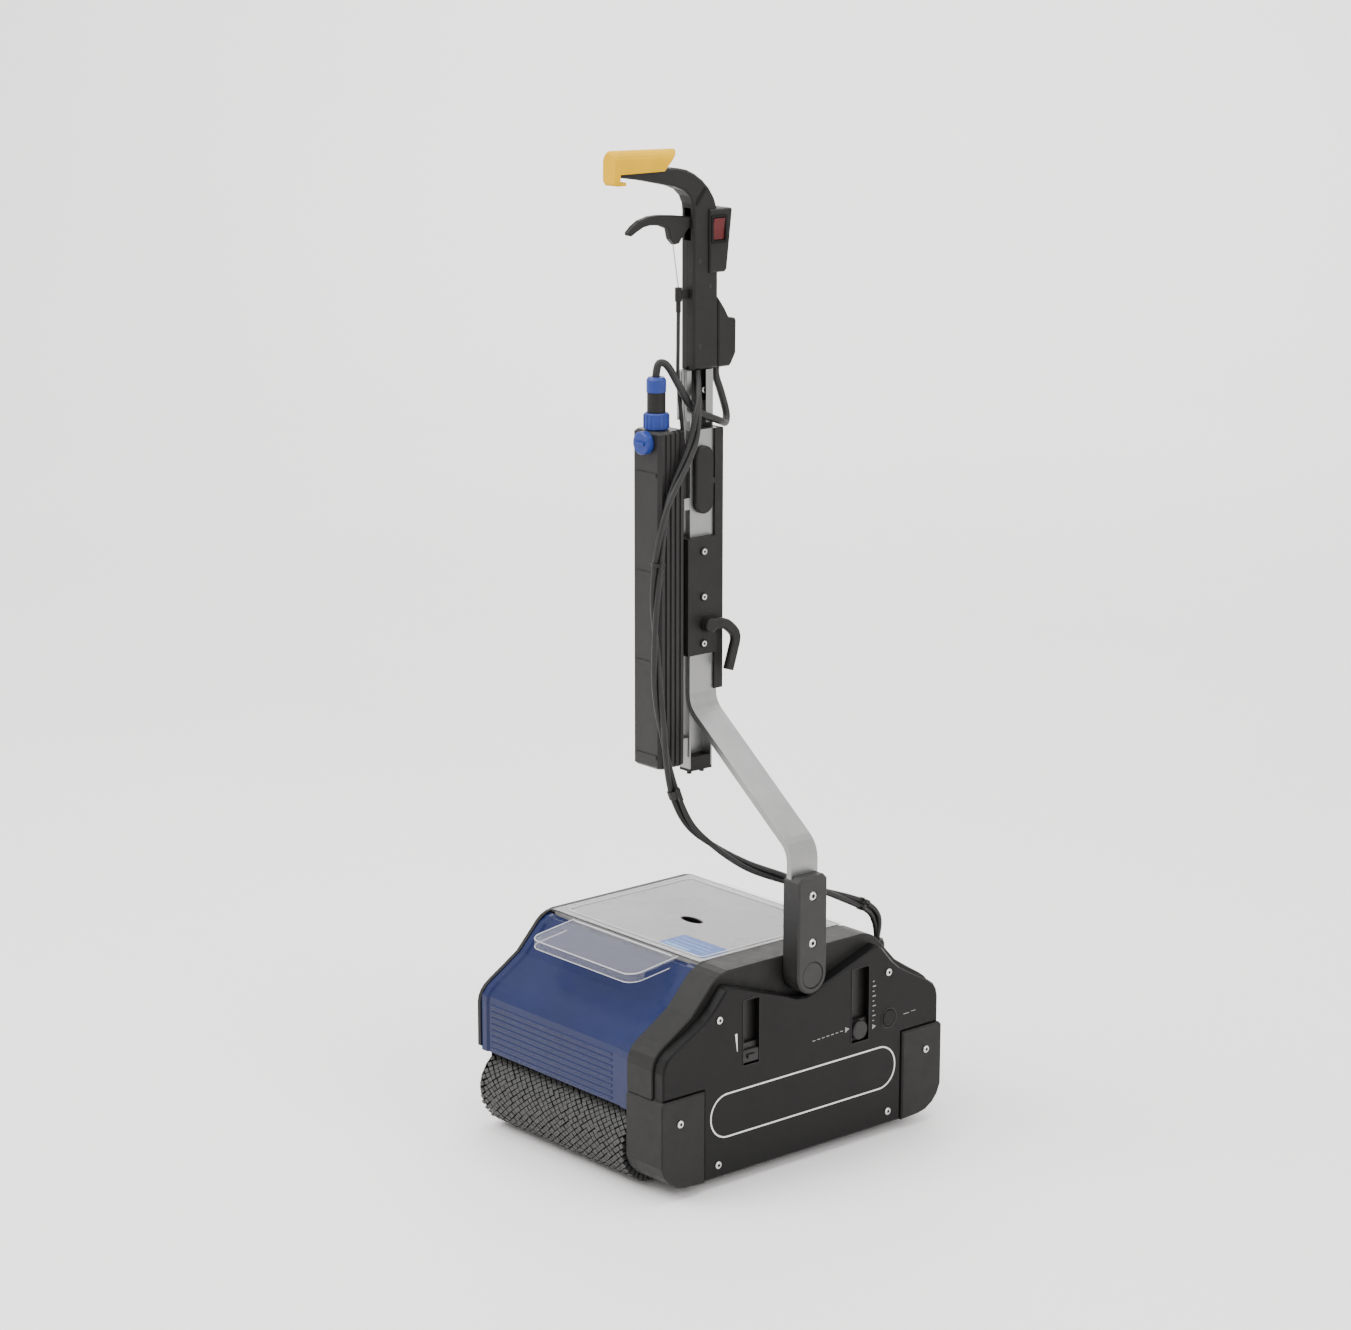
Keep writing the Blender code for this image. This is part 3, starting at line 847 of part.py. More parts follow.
# ---------------------------------------------------------------- cables
cable("battery_lead", [(HEAD_X, PLUG_Y, LEAD_START), (HEAD_X, PLUG_Y, 0.9330), (-0.0355, -0.0545, 0.9440), (-0.0310, -0.0455, 0.9400),
                       (-0.0240, -0.0330, 0.9150), (-0.0222, -0.0180, 0.8920), (-0.0222, 0.0000, 0.8800),
                       (-0.0220, 0.0200, 0.8720), (-0.0240, 0.0320, 0.8675), (-0.0320, 0.0460, 0.8640),
                       (-0.0372, 0.0515, 0.8750), (-0.0370, 0.0430, 0.9000), (-0.0370, 0.0350, 0.9200),
                       (-0.0370, 0.0345, HEAD_BOTTOM - GAP)], LEAD_R, 0.0085, 3, "rubber")
BUNDLE_ROUTE = [(-0.0285, -0.0020, HEAD_BOTTOM - GAP), (-0.0285, -0.0020, 0.9240), (-0.0215, -0.0070, 0.9100),
                (-0.0115, -0.0140, 0.8980), (-0.0060, -0.0215, 0.8820), (-0.0050, -0.0315, 0.8450), (-0.0055, -0.0650, 0.7855),
                (-0.0055, -0.0790, 0.7320), (-0.0055, -0.0870, 0.6680), (-0.0055, -0.0860, 0.6100),
                (-0.0055, -0.0830, 0.5600), (-0.0055, -0.0755, 0.5100), (-0.0045, -0.0680, 0.4650),
                (0.0000, -0.0590, 0.4250), (0.0080, -0.0420, 0.3880), (0.0300, -0.0205, 0.3625),
                (0.0650, -0.0010, 0.3440), (0.1000, 0.0240, 0.3320), (0.1200, 0.0480, 0.3210),
                (0.1300, 0.0760, 0.3090), (0.1340, 0.1030, 0.2970), (0.1342, 0.1270, 0.2850),
                (0.1330, 0.1430, 0.2720), (0.1322, 0.1498, 0.2570), (*GLAND_AT, GLAND_TOP + 0.0080),
                (*GLAND_AT, GLAND_TOP + GAP)]
cable("main_cable", BUNDLE_ROUTE, BUNDLE_R, 0.0180, 2, "rubber")
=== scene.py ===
"""Looks for the upright twin-brush floor scrubber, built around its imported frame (metres, +Z up)."""
import math
import random

import bpy
import bmesh
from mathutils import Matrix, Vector


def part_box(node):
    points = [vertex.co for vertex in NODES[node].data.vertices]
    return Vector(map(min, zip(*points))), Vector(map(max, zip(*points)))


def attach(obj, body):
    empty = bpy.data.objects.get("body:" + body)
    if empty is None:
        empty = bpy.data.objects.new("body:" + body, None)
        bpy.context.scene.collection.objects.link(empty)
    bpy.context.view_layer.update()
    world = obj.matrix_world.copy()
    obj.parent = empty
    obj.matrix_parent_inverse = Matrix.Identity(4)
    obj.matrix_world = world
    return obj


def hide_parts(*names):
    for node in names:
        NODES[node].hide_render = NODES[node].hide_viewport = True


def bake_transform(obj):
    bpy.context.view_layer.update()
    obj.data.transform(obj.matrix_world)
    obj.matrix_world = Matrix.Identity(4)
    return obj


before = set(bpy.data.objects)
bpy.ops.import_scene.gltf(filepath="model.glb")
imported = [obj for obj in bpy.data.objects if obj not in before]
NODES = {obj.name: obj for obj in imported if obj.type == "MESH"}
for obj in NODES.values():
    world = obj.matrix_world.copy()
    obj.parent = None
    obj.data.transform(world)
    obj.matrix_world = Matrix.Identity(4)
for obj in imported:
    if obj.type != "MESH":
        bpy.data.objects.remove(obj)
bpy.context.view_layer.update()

# ---------------------------------------------------------------- camera
CAMERA_AT = (3.1369, -2.767, 1.5832)
CAMERA_TURN = 0.8624          # azimuth, radians
CAMERA_PITCH = 0.2356         # downwards, radians
LENS = 95.93
SENSOR = 36.0
SHIFT_X = 0.0093
VIEW_DEPTH = 60.0

camera_data = bpy.data.cameras.new("camera")
camera_data.lens = LENS
camera_data.sensor_width = SENSOR
camera_data.shift_x = SHIFT_X
camera_data.clip_end = VIEW_DEPTH
camera = bpy.data.objects.new("camera", camera_data)
camera.location = CAMERA_AT
camera.rotation_euler = (math.pi / 2 - CAMERA_PITCH, 0.0, CAMERA_TURN)
bpy.context.scene.collection.objects.link(camera)
bpy.context.scene.camera = camera

# ---------------------------------------------------------------- colours (linear)
BLACK = (0.0088, 0.0086, 0.0081)
ARM_BLACK = (0.0115, 0.0112, 0.0106)
GLOSS_BLACK = (0.0042, 0.0040, 0.0039)
SATIN = (0.0080, 0.0075, 0.0073)
RUBBER = (0.0070, 0.0068, 0.0066)
BLUE = (0.0020, 0.0072, 0.0480)
CLEAR = (0.34, 0.345, 0.36)
FROST = (0.235, 0.230, 0.232)
# pale colour for the clear lid's and lip's edges: painted highlight
CLEAR_EDGE_HIGHLIGHT = (0.60, 0.60, 0.61)
TRAY = (0.26, 0.255, 0.255)
# pale tank moulding seen through the lid, also used to stand in for a bright reflection: partly painted
# reflection
PALE_AND_REFLECTION = (0.50, 0.495, 0.495)
BRISTLE = (0.035, 0.035, 0.034)
CORE = (0.012, 0.012, 0.012)
ALUMINIUM = (0.27, 0.275, 0.27)
STEEL = (0.55, 0.55, 0.54)
YELLOW = (0.56, 0.315, 0.0)
CONNECTOR = (0.0110, 0.0280, 0.17)
RED = (0.070, 0.0030, 0.0040)
LABEL_BLUE = (0.012, 0.062, 0.23)
LABEL_PALE = (0.085, 0.19, 0.38)
PRINT = (0.60, 0.60, 0.59)
PRINT_DIM = (0.24, 0.24, 0.23)
FLOOR = (0.82, 0.80, 0.795)
# near-black for the screws' driver recesses: painted shade, no hole is cut
RECESS_SHADE = (0.004, 0.004, 0.004)


# ---------------------------------------------------------------- materials
def material(name, colour, rough, metal=0.0, coat=0.0, mottle=0.12, mottle_scale=35.0, grain=0.15,
             grain_scale=900.0, stretch=(1.0, 1.0, 1.0), alpha=1.0, rough_spread=0.10, specular=0.5):
    """Moulded or drawn surface: colour mottling, uneven roughness and a fine grain in relief."""
    mat = bpy.data.materials.new(name)
    mat.use_nodes = True
    tree = mat.node_tree
    shader = tree.nodes["Principled BSDF"]
    shader.inputs["Metallic"].default_value = metal
    shader.inputs["Coat Weight"].default_value = coat
    shader.inputs["Coat Roughness"].default_value = 0.08
    shader.inputs["Alpha"].default_value = alpha
    shader.inputs["Specular IOR Level"].default_value = specular
    coords = tree.nodes.new("ShaderNodeTexCoord")
    scale = tree.nodes.new("ShaderNodeMapping")
    scale.inputs["Scale"].default_value = stretch
    tree.links.new(coords.outputs["Object"], scale.inputs["Vector"])

    def noise(size, detail):
        node = tree.nodes.new("ShaderNodeTexNoise")
        node.inputs["Scale"].default_value = size
        node.inputs["Detail"].default_value = detail
        tree.links.new(scale.outputs["Vector"], node.inputs["Vector"])
        return node

    tint = tree.nodes.new("ShaderNodeValToRGB")
    low, high = tint.color_ramp.elements
    low.position, high.position = 0.30, 0.72
    low.color = (*[c * (1.0 - mottle) for c in colour], 1.0)
    high.color = (*[min(1.0, c * (1.0 + mottle)) for c in colour], 1.0)
    tree.links.new(noise(mottle_scale, 4.0).outputs["Fac"], tint.inputs["Fac"])
    tree.links.new(tint.outputs["Color"], shader.inputs["Base Color"])
    polish = tree.nodes.new("ShaderNodeMapRange")
    polish.inputs["To Min"].default_value = max(0.02, rough - rough_spread)
    polish.inputs["To Max"].default_value = min(1.0, rough + rough_spread)
    tree.links.new(noise(mottle_scale * 2.3, 3.0).outputs["Fac"], polish.inputs["Value"])
    tree.links.new(polish.outputs["Result"], shader.inputs["Roughness"])
    relief = tree.nodes.new("ShaderNodeBump")
    relief.inputs["Strength"].default_value = grain
    relief.inputs["Distance"].default_value = 0.0004
    tree.links.new(noise(grain_scale, 2.0).outputs["Fac"], relief.inputs["Height"])
    tree.links.new(relief.outputs["Normal"], shader.inputs["Normal"])
    return mat


ALONG_Z = (1.0, 1.0, 0.03)    # brushed along the height
MATS = {
    "black": material("moulded_black", BLACK, 0.50, grain=0.35, grain_scale=1400.0, mottle=0.16,
                      specular=0.20),
    "arm_black": material("arm_black", ARM_BLACK, 0.50, grain=0.3, grain_scale=1600.0, specular=0.35),
    "gloss": material("gloss_cover", GLOSS_BLACK, 0.34, mottle=0.12, mottle_scale=14.0, grain=0.06,
                      specular=0.14),
    "satin": material("satin_black", SATIN, 0.42, grain=0.22, grain_scale=1000.0, specular=0.3),
    "painted_recess_shade": material("near_black_recess_shade", RECESS_SHADE, 0.6, specular=0.1),
    "blue": material("hood_blue", BLUE, 0.24, coat=0.08, mottle=0.10, mottle_scale=12.0, grain=0.04,
                     rough_spread=0.06, specular=0.22),
    "clear": material("clear_plastic", CLEAR, 0.16, coat=0.1, mottle=0.07, mottle_scale=9.0, grain=0.015,
                      grain_scale=90.0, alpha=0.12, rough_spread=0.06, specular=0.25),
    "clear_edge_highlight": material("clear_edge_highlight", CLEAR_EDGE_HIGHLIGHT, 0.2, coat=0.3, mottle=0.10, mottle_scale=60.0,
                           grain=0.10, alpha=0.62),
    "frost": material("frosted_film", FROST, 0.26, coat=0.2, mottle=0.14, mottle_scale=11.0, grain=0.015,
                      grain_scale=90.0, alpha=0.66, rough_spread=0.08),
    "tray": material("grey_moulding", TRAY, 0.55, mottle=0.10, mottle_scale=18.0, grain=0.2),
    "pale_and_reflection": material("pale_moulding_and_reflection", PALE_AND_REFLECTION, 0.5, mottle=0.08, mottle_scale=22.0, grain=0.2),
    "bristle": material("bristle_nylon", BRISTLE, 0.62, mottle=0.35, mottle_scale=240.0, grain=0.6,
                        grain_scale=1600.0, specular=0.4),
    "core": material("brush_core", CORE, 0.5),
    "aluminium": material("satin_aluminium", ALUMINIUM, 0.38, metal=0.9, mottle=0.07, grain=0.14,
                          stretch=ALONG_Z, rough_spread=0.08),
    "steel": material("bright_steel", STEEL, 0.28, metal=1.0, mottle=0.08, grain=0.1),
    "yellow": material("grip_yellow", YELLOW, 0.55, mottle=0.07, mottle_scale=28.0, grain=0.18,
                       grain_scale=1200.0, specular=0.06),
    "connector": material("connector_blue", CONNECTOR, 0.46, mottle=0.14, grain=0.2, specular=0.3),
    "red": material("rocker_red", RED, 0.36, mottle=0.14, grain=0.1, specular=0.3),
    "rubber": material("cable_rubber", RUBBER, 0.50, mottle=0.22, mottle_scale=60.0, grain=0.4,
                       grain_scale=700.0, specular=0.35),
    "label": material("label_film", LABEL_BLUE, 0.40, mottle=0.16, mottle_scale=90.0, grain=0.05,
                      specular=0.3),
    "label_pale": material("label_pale", LABEL_PALE, 0.40, mottle=0.10, mottle_scale=90.0, grain=0.05,
                           specular=0.3),
    "print": material("white_print", PRINT, 0.5, mottle=0.12, mottle_scale=120.0, grain=0.1),
    "print_dim": material("worn_print", PRINT_DIM, 0.55, mottle=0.4, mottle_scale=300.0, grain=0.1),
}

LOOKS = {
    "black": ["gear_housing", "heel_cover_front", "heel_cover_rear", "side_plate_left", "clamp_bracket",
              "clamp_lever", "oval_cover", "mast_end_cap", "switch_box", "lower_box", "head_shell_left",
              "head_shell_right", "trigger_lever", "cable_adjuster", "plug_body", "rear_rail"],
    "arm_black": ["arm_shoe", "pivot_shaft"],
    "gloss": ["side_cover_right", "finger_cup", "push_button"],
    "satin": ["pressure_lever", "flow_knob", "battery_case"],
    "blue": ["front_hood", "rear_hood"],
    "clear": ["tank_lid"],
    "tray": ["base_pan", "water_tank"],
    "core": ["front_brush_core", "rear_brush_core"],
    "aluminium": ["arm_bar", "mast_channel"],
    "steel": ["motor", "motor_pulley", "lay_pulley", "mast_bolt", "shoe_screw_lower", "shoe_screw_upper",
              "heel_screw_front", "heel_screw_rear", "cover_screw_front_top", "cover_screw_rear_top",
              "cover_screw_front_low", "cover_screw_rear_low"],
    "yellow": ["grip_cover"],
    "connector": ["plug_ring", "plug_cap", "battery_gauge"],
    "red": ["rocker_switch"],
    "rubber": ["belt_front", "belt_rear", "belt_drum", "pickup_drum"],
}
for look, names in LOOKS.items():
    for name in names:
        node = NODES[name]
        node.data.materials.clear()
        node.data.materials.append(MATS[look])

# bevel widths on the carried-over nodes whose edges the photograph shows rounded
SOFT_EDGES = {"arm_shoe": 0.0012, "clamp_bracket": 0.0010, "battery_case": 0.0006, "rear_rail": 0.0005,
              "arm_bar": 0.0006, "mast_channel": 0.0003, "mast_end_cap": 0.0006}
for name, width in SOFT_EDGES.items():
    rounding = NODES[name].modifiers.new("soft_edges", "BEVEL")
    rounding.width = width
    rounding.segments = 2
    rounding.limit_method = "ANGLE"
    rounding.angle_limit = math.radians(40)
    rounding.harden_normals = False


# ---------------------------------------------------------------- mesh helpers
def add_mesh(name, bm, look, body, smooth=35.0):
    """Finish a bmesh as a piece that rides on a body."""
    bmesh.ops.recalc_face_normals(bm, faces=bm.faces)
    mesh = bpy.data.meshes.new(name)
    for face in bm.faces:
        face.smooth = True
    bm.to_mesh(mesh)
    bm.free()
    mesh.set_sharp_from_angle(angle=math.radians(smooth))
    mesh.materials.append(MATS[look])
    obj = bpy.data.objects.new(name, mesh)
    bpy.context.scene.collection.objects.link(obj)
    if body:
        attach(obj, body)
    return obj


def place(axis, along, a, b):
    """Point from a position along an axis and the two other coordinates."""
    return {"X": (along, a, b), "Y": (a, along, b), "Z": (a, b, along)}[axis]


def inset(outline, depth):
    """Offset a closed counter-clockwise outline inwards."""
    count = len(outline)
    moved = []
    for i in range(count):
        before = Vector(outline[i]) - Vector(outline[i - 1])
        after = Vector(outline[(i + 1) % count]) - Vector(outline[i])
        n1 = Vector((-before.y, before.x)).normalized()
        n2 = Vector((-after.y, after.x)).normalized()
        shift = (n1 + n2) * (depth / (1.0 + n1.dot(n2)))
        moved.append((outline[i][0] + shift.x, outline[i][1] + shift.y))
    return moved


def fill_rings(bm, rings, closed_ends=True, looped=False):
    """Skin rings of equal point count."""
    rows = [[bm.verts.new(p) for p in ring] for ring in rings]
    count = len(rows[0])
    pairs = list(zip(rows, rows[1:]))
    if looped:
        pairs.append((rows[-1], rows[0]))
    for low, high in pairs:
        for i in range(count):
            j = (i + 1) % count
            bm.faces.new((low[i], low[j], high[j], high[i]))
    if closed_ends and not looped:
        bm.faces.new(rows[0][::-1])
        bm.faces.new(rows[-1])


def slab(bm, axis, outline, low, high, ease=0.0):
    """Extruded outline whose outer end (high) is eased."""
    rings = [[place(axis, low, a, b) for a, b in outline]]
    if ease:
        rings.append([place(axis, high - math.copysign(ease, high - low), a, b) for a, b in outline])
        outline = inset(outline, ease)
    rings.append([place(axis, high, a, b) for a, b in outline])
    fill_rings(bm, rings)


def rectangle(a, b):
    """Rectangle between coordinate pairs, counter-clockwise."""
    return [(a[0], b[0]), (a[1], b[0]), (a[1], b[1]), (a[0], b[1])]


def rounded(a, b, radius, steps=5):
    """Rounded rectangle between coordinate pairs, counter-clockwise."""
    corners = [(a[1] - radius, b[0] + radius, -90), (a[1] - radius, b[1] - radius, 0),
               (a[0] + radius, b[1] - radius, 90), (a[0] + radius, b[0] + radius, 180)]
    points = []
    for ca, cb, start in corners:
        for k in range(steps + 1):
            angle = math.radians(start + 90 * k / steps)
            points.append((ca + radius * math.cos(angle), cb + radius * math.sin(angle)))
    return points


def circle(centre, radius, count=28):
    """Evenly divided circle, counter-clockwise."""
    turns = [2 * math.pi * i / count for i in range(count)]
    return [(centre[0] + radius * math.cos(turn), centre[1] + radius * math.sin(turn)) for turn in turns]


def band(bm, axis, outer, inner, low, high):
    """Closed ring between two outlines of equal point count."""
    rings = [[place(axis, level, a, b) for a, b in line]
             for level, line in ((low, outer), (high, outer), (high, inner), (low, inner))]
    fill_rings(bm, rings, looped=True)


def smooth_route(points, spacing):
    """Even points along a smooth curve through a route."""
    pts = [Vector(p) for p in points]
    pts = [pts[0] * 2 - pts[1]] + pts + [pts[-1] * 2 - pts[-2]]
    fine = []
    for a, b, c, d in zip(pts, pts[1:], pts[2:], pts[3:]):
        for k in range(30):
            t = k / 30
            fine.append(0.5 * (2 * b + (c - a) * t + (2 * a - 5 * b + 4 * c - d) * t * t
                               + (3 * b - a - 3 * c + d) * t ** 3))
    fine.append(pts[-2])
    reach = [0.0]
    for a, b in zip(fine, fine[1:]):
        reach.append(reach[-1] + (b - a).length)
    count = max(2, round(reach[-1] / spacing))
    out, k = [], 0
    for i in range(count + 1):
        want = reach[-1] * i / count
        while k < len(fine) - 2 and reach[k + 1] < want:
            k += 1
        t = (want - reach[k]) / (reach[k + 1] - reach[k])
        out.append(fine[k].lerp(fine[k + 1], t))
    return out


def frames(path):
    """A pair of steady cross directions at each path point."""
    upright = abs((path[1] - path[0]).normalized().z) >= 0.9
    side = Vector((1.0, 0.0, 0.0)) if upright else Vector((0.0, 0.0, 1.0))
    out = []
    for i, point in enumerate(path):
        ahead = path[min(i + 1, len(path) - 1)] - path[max(i - 1, 0)]
        ahead.normalize()
        side = (side - ahead * side.dot(ahead)).normalized()
        out.append((side, ahead.cross(side)))
    return out


def ring_round(point, side, up, radius, count):
    """Circle of points about a point, across a path."""
    turns = [2 * math.pi * k / count for k in range(count)]
    return [point + side * (radius * math.cos(turn)) + up * (radius * math.sin(turn)) for turn in turns]


def tube(bm, path, radius, count=12):
    """Closed round tube along a path."""
    fill_rings(bm, [ring_round(point, side, up, radius, count)
                    for point, (side, up) in zip(path, frames(path))])


# ---------------------------------------------------------------- cables first
TIE_Z = 0.432                 # height of the tie where the bundle changes from arm to body
LEAD_R = 0.0045
CORD_R = 0.0035
BOWDEN_R = 0.0023
WIRE_R = 0.0008
WIND = 0.0034                 # how far each strand winds from the bundle's middle
WIND_TURNS = 3.0
WIND_RUN_IN = 0.03            # share of the length over which the wind opens and closes
CABLE_STEP = 0.004
LEAD_STEP = 0.0022
UPPER_BEND = ("arm", "mast"), (0.0, -0.07, 0.47), (0.0, -0.03, 0.86)
LOWER_BEND = ("base", "arm"), (0.132, 0.15, 0.262), (0.05, -0.01, 0.40)
GLAND = (0.132, 0.150, 0.2378)
BUNDLE_TOP = [(-0.0285, -0.0020, 0.9317), (-0.0285, -0.0020, 0.9240), (-0.0215, -0.0070, 0.9100),
              (-0.0115, -0.0140, 0.8980), (-0.0060, -0.0215, 0.8820), (-0.0050, -0.0315, 0.8450),
              (-0.0055, -0.0650, 0.7855), (-0.0055, -0.0790, 0.7320), (-0.0055, -0.0870, 0.6680),
              (-0.0055, -0.0860, 0.6100), (-0.0055, -0.0830, 0.5600), (-0.0055, -0.0755, 0.5100),
              (-0.0045, -0.0680, 0.4650)]
BUNDLE_LOW = [(-0.0045, -0.0680, 0.4650), (0.0000, -0.0590, 0.4250), (0.0080, -0.0420, 0.3880),
              (0.0300, -0.0205, 0.3625), (0.0650, -0.0010, 0.3440), (0.1000, 0.0240, 0.3320),
              (0.1200, 0.0480, 0.3210), (0.1300, 0.0760, 0.3090), (0.1340, 0.1030, 0.2970),
              (0.1342, 0.1270, 0.2850), (0.1330, 0.1430, 0.2720), (0.1322, 0.1498, 0.2570), GLAND]
whole = smooth_route(BUNDLE_TOP + BUNDLE_LOW[1:], CABLE_STEP)
split = min(range(len(whole)), key=lambda i: abs(whole[i].z - TIE_Z))


def wind_radius(share):
    """Distance from the bundle's middle, closing to nothing at both ends of the cable."""
    return WIND * min(1.0, share / WIND_RUN_IN, (1.0 - share) / WIND_RUN_IN)


def wound(phase):
    """One strand's path, wound round the bundle from a starting angle."""
    points = []
    for i, (point, (side, up)) in enumerate(zip(whole, frames(whole))):
        share = i / (len(whole) - 1)
        angle = phase + WIND_TURNS * 2 * math.pi * share
        reach = wind_radius(share)
        points.append(point + side * (reach * math.cos(angle)) + up * (reach * math.sin(angle)))
    return points


for label, phase in (("power", 0.0), ("hose", math.pi)):
    line = wound(phase)
    for part, path, bend in (("upper", line[:split + 1], UPPER_BEND), ("lower", line[split:], LOWER_BEND)):
        bm = bmesh.new()
        tube(bm, path, CORD_R, 12)
        piece = add_mesh("main_cable_%s_%s" % (label, part), bm, "rubber", None, 60.0)
        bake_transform(piece)
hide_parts("main_cable")

LEAD_ROUTE = [(-0.0370, -0.0580, 0.9203), (-0.0370, -0.0580, 0.9330), (-0.0355, -0.0545, 0.9440),
              (-0.0310, -0.0455, 0.9400), (-0.0240, -0.0330, 0.9150), (-0.0222, -0.0180, 0.8920),
              (-0.0222, 0.0000, 0.8800), (-0.0220, 0.0200, 0.8720), (-0.0240, 0.0320, 0.8675),
              (-0.0320, 0.0460, 0.8640), (-0.0372, 0.0515, 0.8750), (-0.0370, 0.0430, 0.9000),
              (-0.0370, 0.0350, 0.9200), (-0.0370, 0.0345, 0.9317)]
lead_path = smooth_route(LEAD_ROUTE, LEAD_STEP)
bm = bmesh.new()
tube(bm, lead_path, LEAD_R, 14)
lead = add_mesh("battery_lead_cable", bm, "rubber", "mast", 60.0)
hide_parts("battery_lead")

BOWDEN_ROUTE = [(-0.0370, -0.0240, 1.0007), (-0.0365, -0.0248, 0.9650), (-0.0345, -0.0265, 0.9200),
                (-0.0275, -0.0272, 0.8750), (-0.0240, -0.0268, 0.8300), (-0.0235, -0.0265, 0.7823)]
bowden_path = smooth_route(BOWDEN_ROUTE, CABLE_STEP)
bm = bmesh.new()
tube(bm, bowden_path, BOWDEN_R, 12)
bowden = add_mesh("bowden_sheath", bm, "rubber", "mast", 60.0)
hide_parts("bowden_cable")

WIRE_ROUTE = [(-0.0370, -0.0325, 1.0812), (-0.0370, -0.0285, 1.0560), (-0.0370, -0.0240, 1.0290)]
wire_path = smooth_route(WIRE_ROUTE, CABLE_STEP)
bm = bmesh.new()
tube(bm, wire_path, WIRE_R, 8)
wire = add_mesh("trigger_wire_strand", bm, "steel", None, 60.0)
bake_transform(wire)
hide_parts("trigger_wire")


TIE_WALL = 0.001
TIE_SIDES = 20
TIE_HEAD = (0.0018, 0.0026)   # half sizes across the cable
TIE_HEAD_OUT = 0.0014


def cable_tie(name, index, width, radius, bend=None):
    """Strap round the bundle, with its square head; with a bend given it is baked in place, otherwise it
    rides on the arm.
    """
    bm = bmesh.new()
    ahead = (whole[index + 1] - whole[index - 1]).normalized()
    side, up = frames(whole)[index]
    bore = radius - TIE_WALL
    edges = ((-width / 2, radius), (width / 2, radius), (width / 2, bore), (-width / 2, bore))
    fill_rings(bm, [ring_round(whole[index] + ahead * along, side, up, r, TIE_SIDES) for along, r in edges],
               looped=True)
    centre = whole[index] + side * (radius + TIE_HEAD_OUT)
    corner = [centre + side * (TIE_HEAD[0] * i) + up * (TIE_HEAD[1] * j)
              for i, j in ((-1, -1), (1, -1), (1, 1), (-1, 1))]
    fill_rings(bm, [[c - ahead * width * 0.8 for c in corner], [c + ahead * width * 0.8 for c in corner]])
    tie = add_mesh(name, bm, "satin", None if bend else "arm", 40.0)
    if bend:
        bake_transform(tie)


def nearest(point):
    """Index of the bundle's path point closest to a place."""
    return min(range(1, len(whole) - 1), key=lambda i: (whole[i] - Vector(point)).length)


cable_tie("cable_tie_split", split, 0.010, 0.0081)
cable_tie("cable_tie_upper", nearest((-0.0055, -0.0815, 0.712)), 0.0045, 0.0079, UPPER_BEND)
cable_tie("cable_tie_low", nearest((0.1341, 0.122, 0.288)), 0.0045, 0.0079, LOWER_BEND)

# ---------------------------------------------------------------- brushes: rows of tufts on a dark sleeve
BRUSH_AXIS = {"front": (-0.180, 0.050), "rear": (0.180, 0.050)}
TUFT_ROWS = 36
TUFT_COLUMNS = 50
SLEEVE_R = (0.0325, 0.0372)
ROOT_R = 0.0365
TIP_R = 0.0494
TIP_SCATTER = 0.0012
TIP_FLARE = 0.003             # length of the tuft's widest part
DRIFT_X = 0.0005
DRIFT_ROUND = 0.0004
CROWN = 0.0005
SLEEVE_SIDES = 64
SLEEVE_END = 0.0008
TUFT_FILL = 0.82              # share of its diamond that a tuft tip covers
TUFT_SIDES = 4
LEFT_SPLAY = 0.0036           # the outermost tufts lean out past the sleeve
RIGHT_SPLAY = 0.0012


def tuft(bm, axis_at, x, turn, splay, half_x):
    """One flared bundle of bristles standing out from the brush axis."""
    y0, z0 = axis_at
    tip_r = TIP_R - random.uniform(0.0, TIP_SCATTER)
    half_turn = math.pi / TUFT_ROWS * TUFT_FILL
    drift = (random.uniform(-DRIFT_X, DRIFT_X) + splay, random.uniform(-DRIFT_ROUND, DRIFT_ROUND) / TIP_R)
    rings = []
    for radius, width, share in ((ROOT_R, 0.55, 0.0), (tip_r - TIP_FLARE, 0.86, 0.7), (tip_r, 1.0, 1.0)):
        ring = []
        for k in range(TUFT_SIDES):
            a = 2 * math.pi * k / TUFT_SIDES
            around = turn + drift[1] * share + half_turn * width * math.sin(a)
            ring.append(bm.verts.new((x + drift[0] * share + half_x * width * math.cos(a),
                                      y0 + radius * math.cos(around), z0 + radius * math.sin(around))))
        rings.append(ring)
    for low, high in zip(rings, rings[1:]):
        for k in range(TUFT_SIDES):
            j = (k + 1) % TUFT_SIDES
            bm.faces.new((low[k], low[j], high[j], high[k]))
    around = turn + drift[1]
    crown_r = tip_r + CROWN
    crown = bm.verts.new((x + drift[0], y0 + crown_r * math.cos(around), z0 + crown_r * math.sin(around)))
    for k in range(TUFT_SIDES):
        bm.faces.new((rings[-1][k], rings[-1][(k + 1) % TUFT_SIDES], crown))
    bm.faces.new(rings[0][::-1])


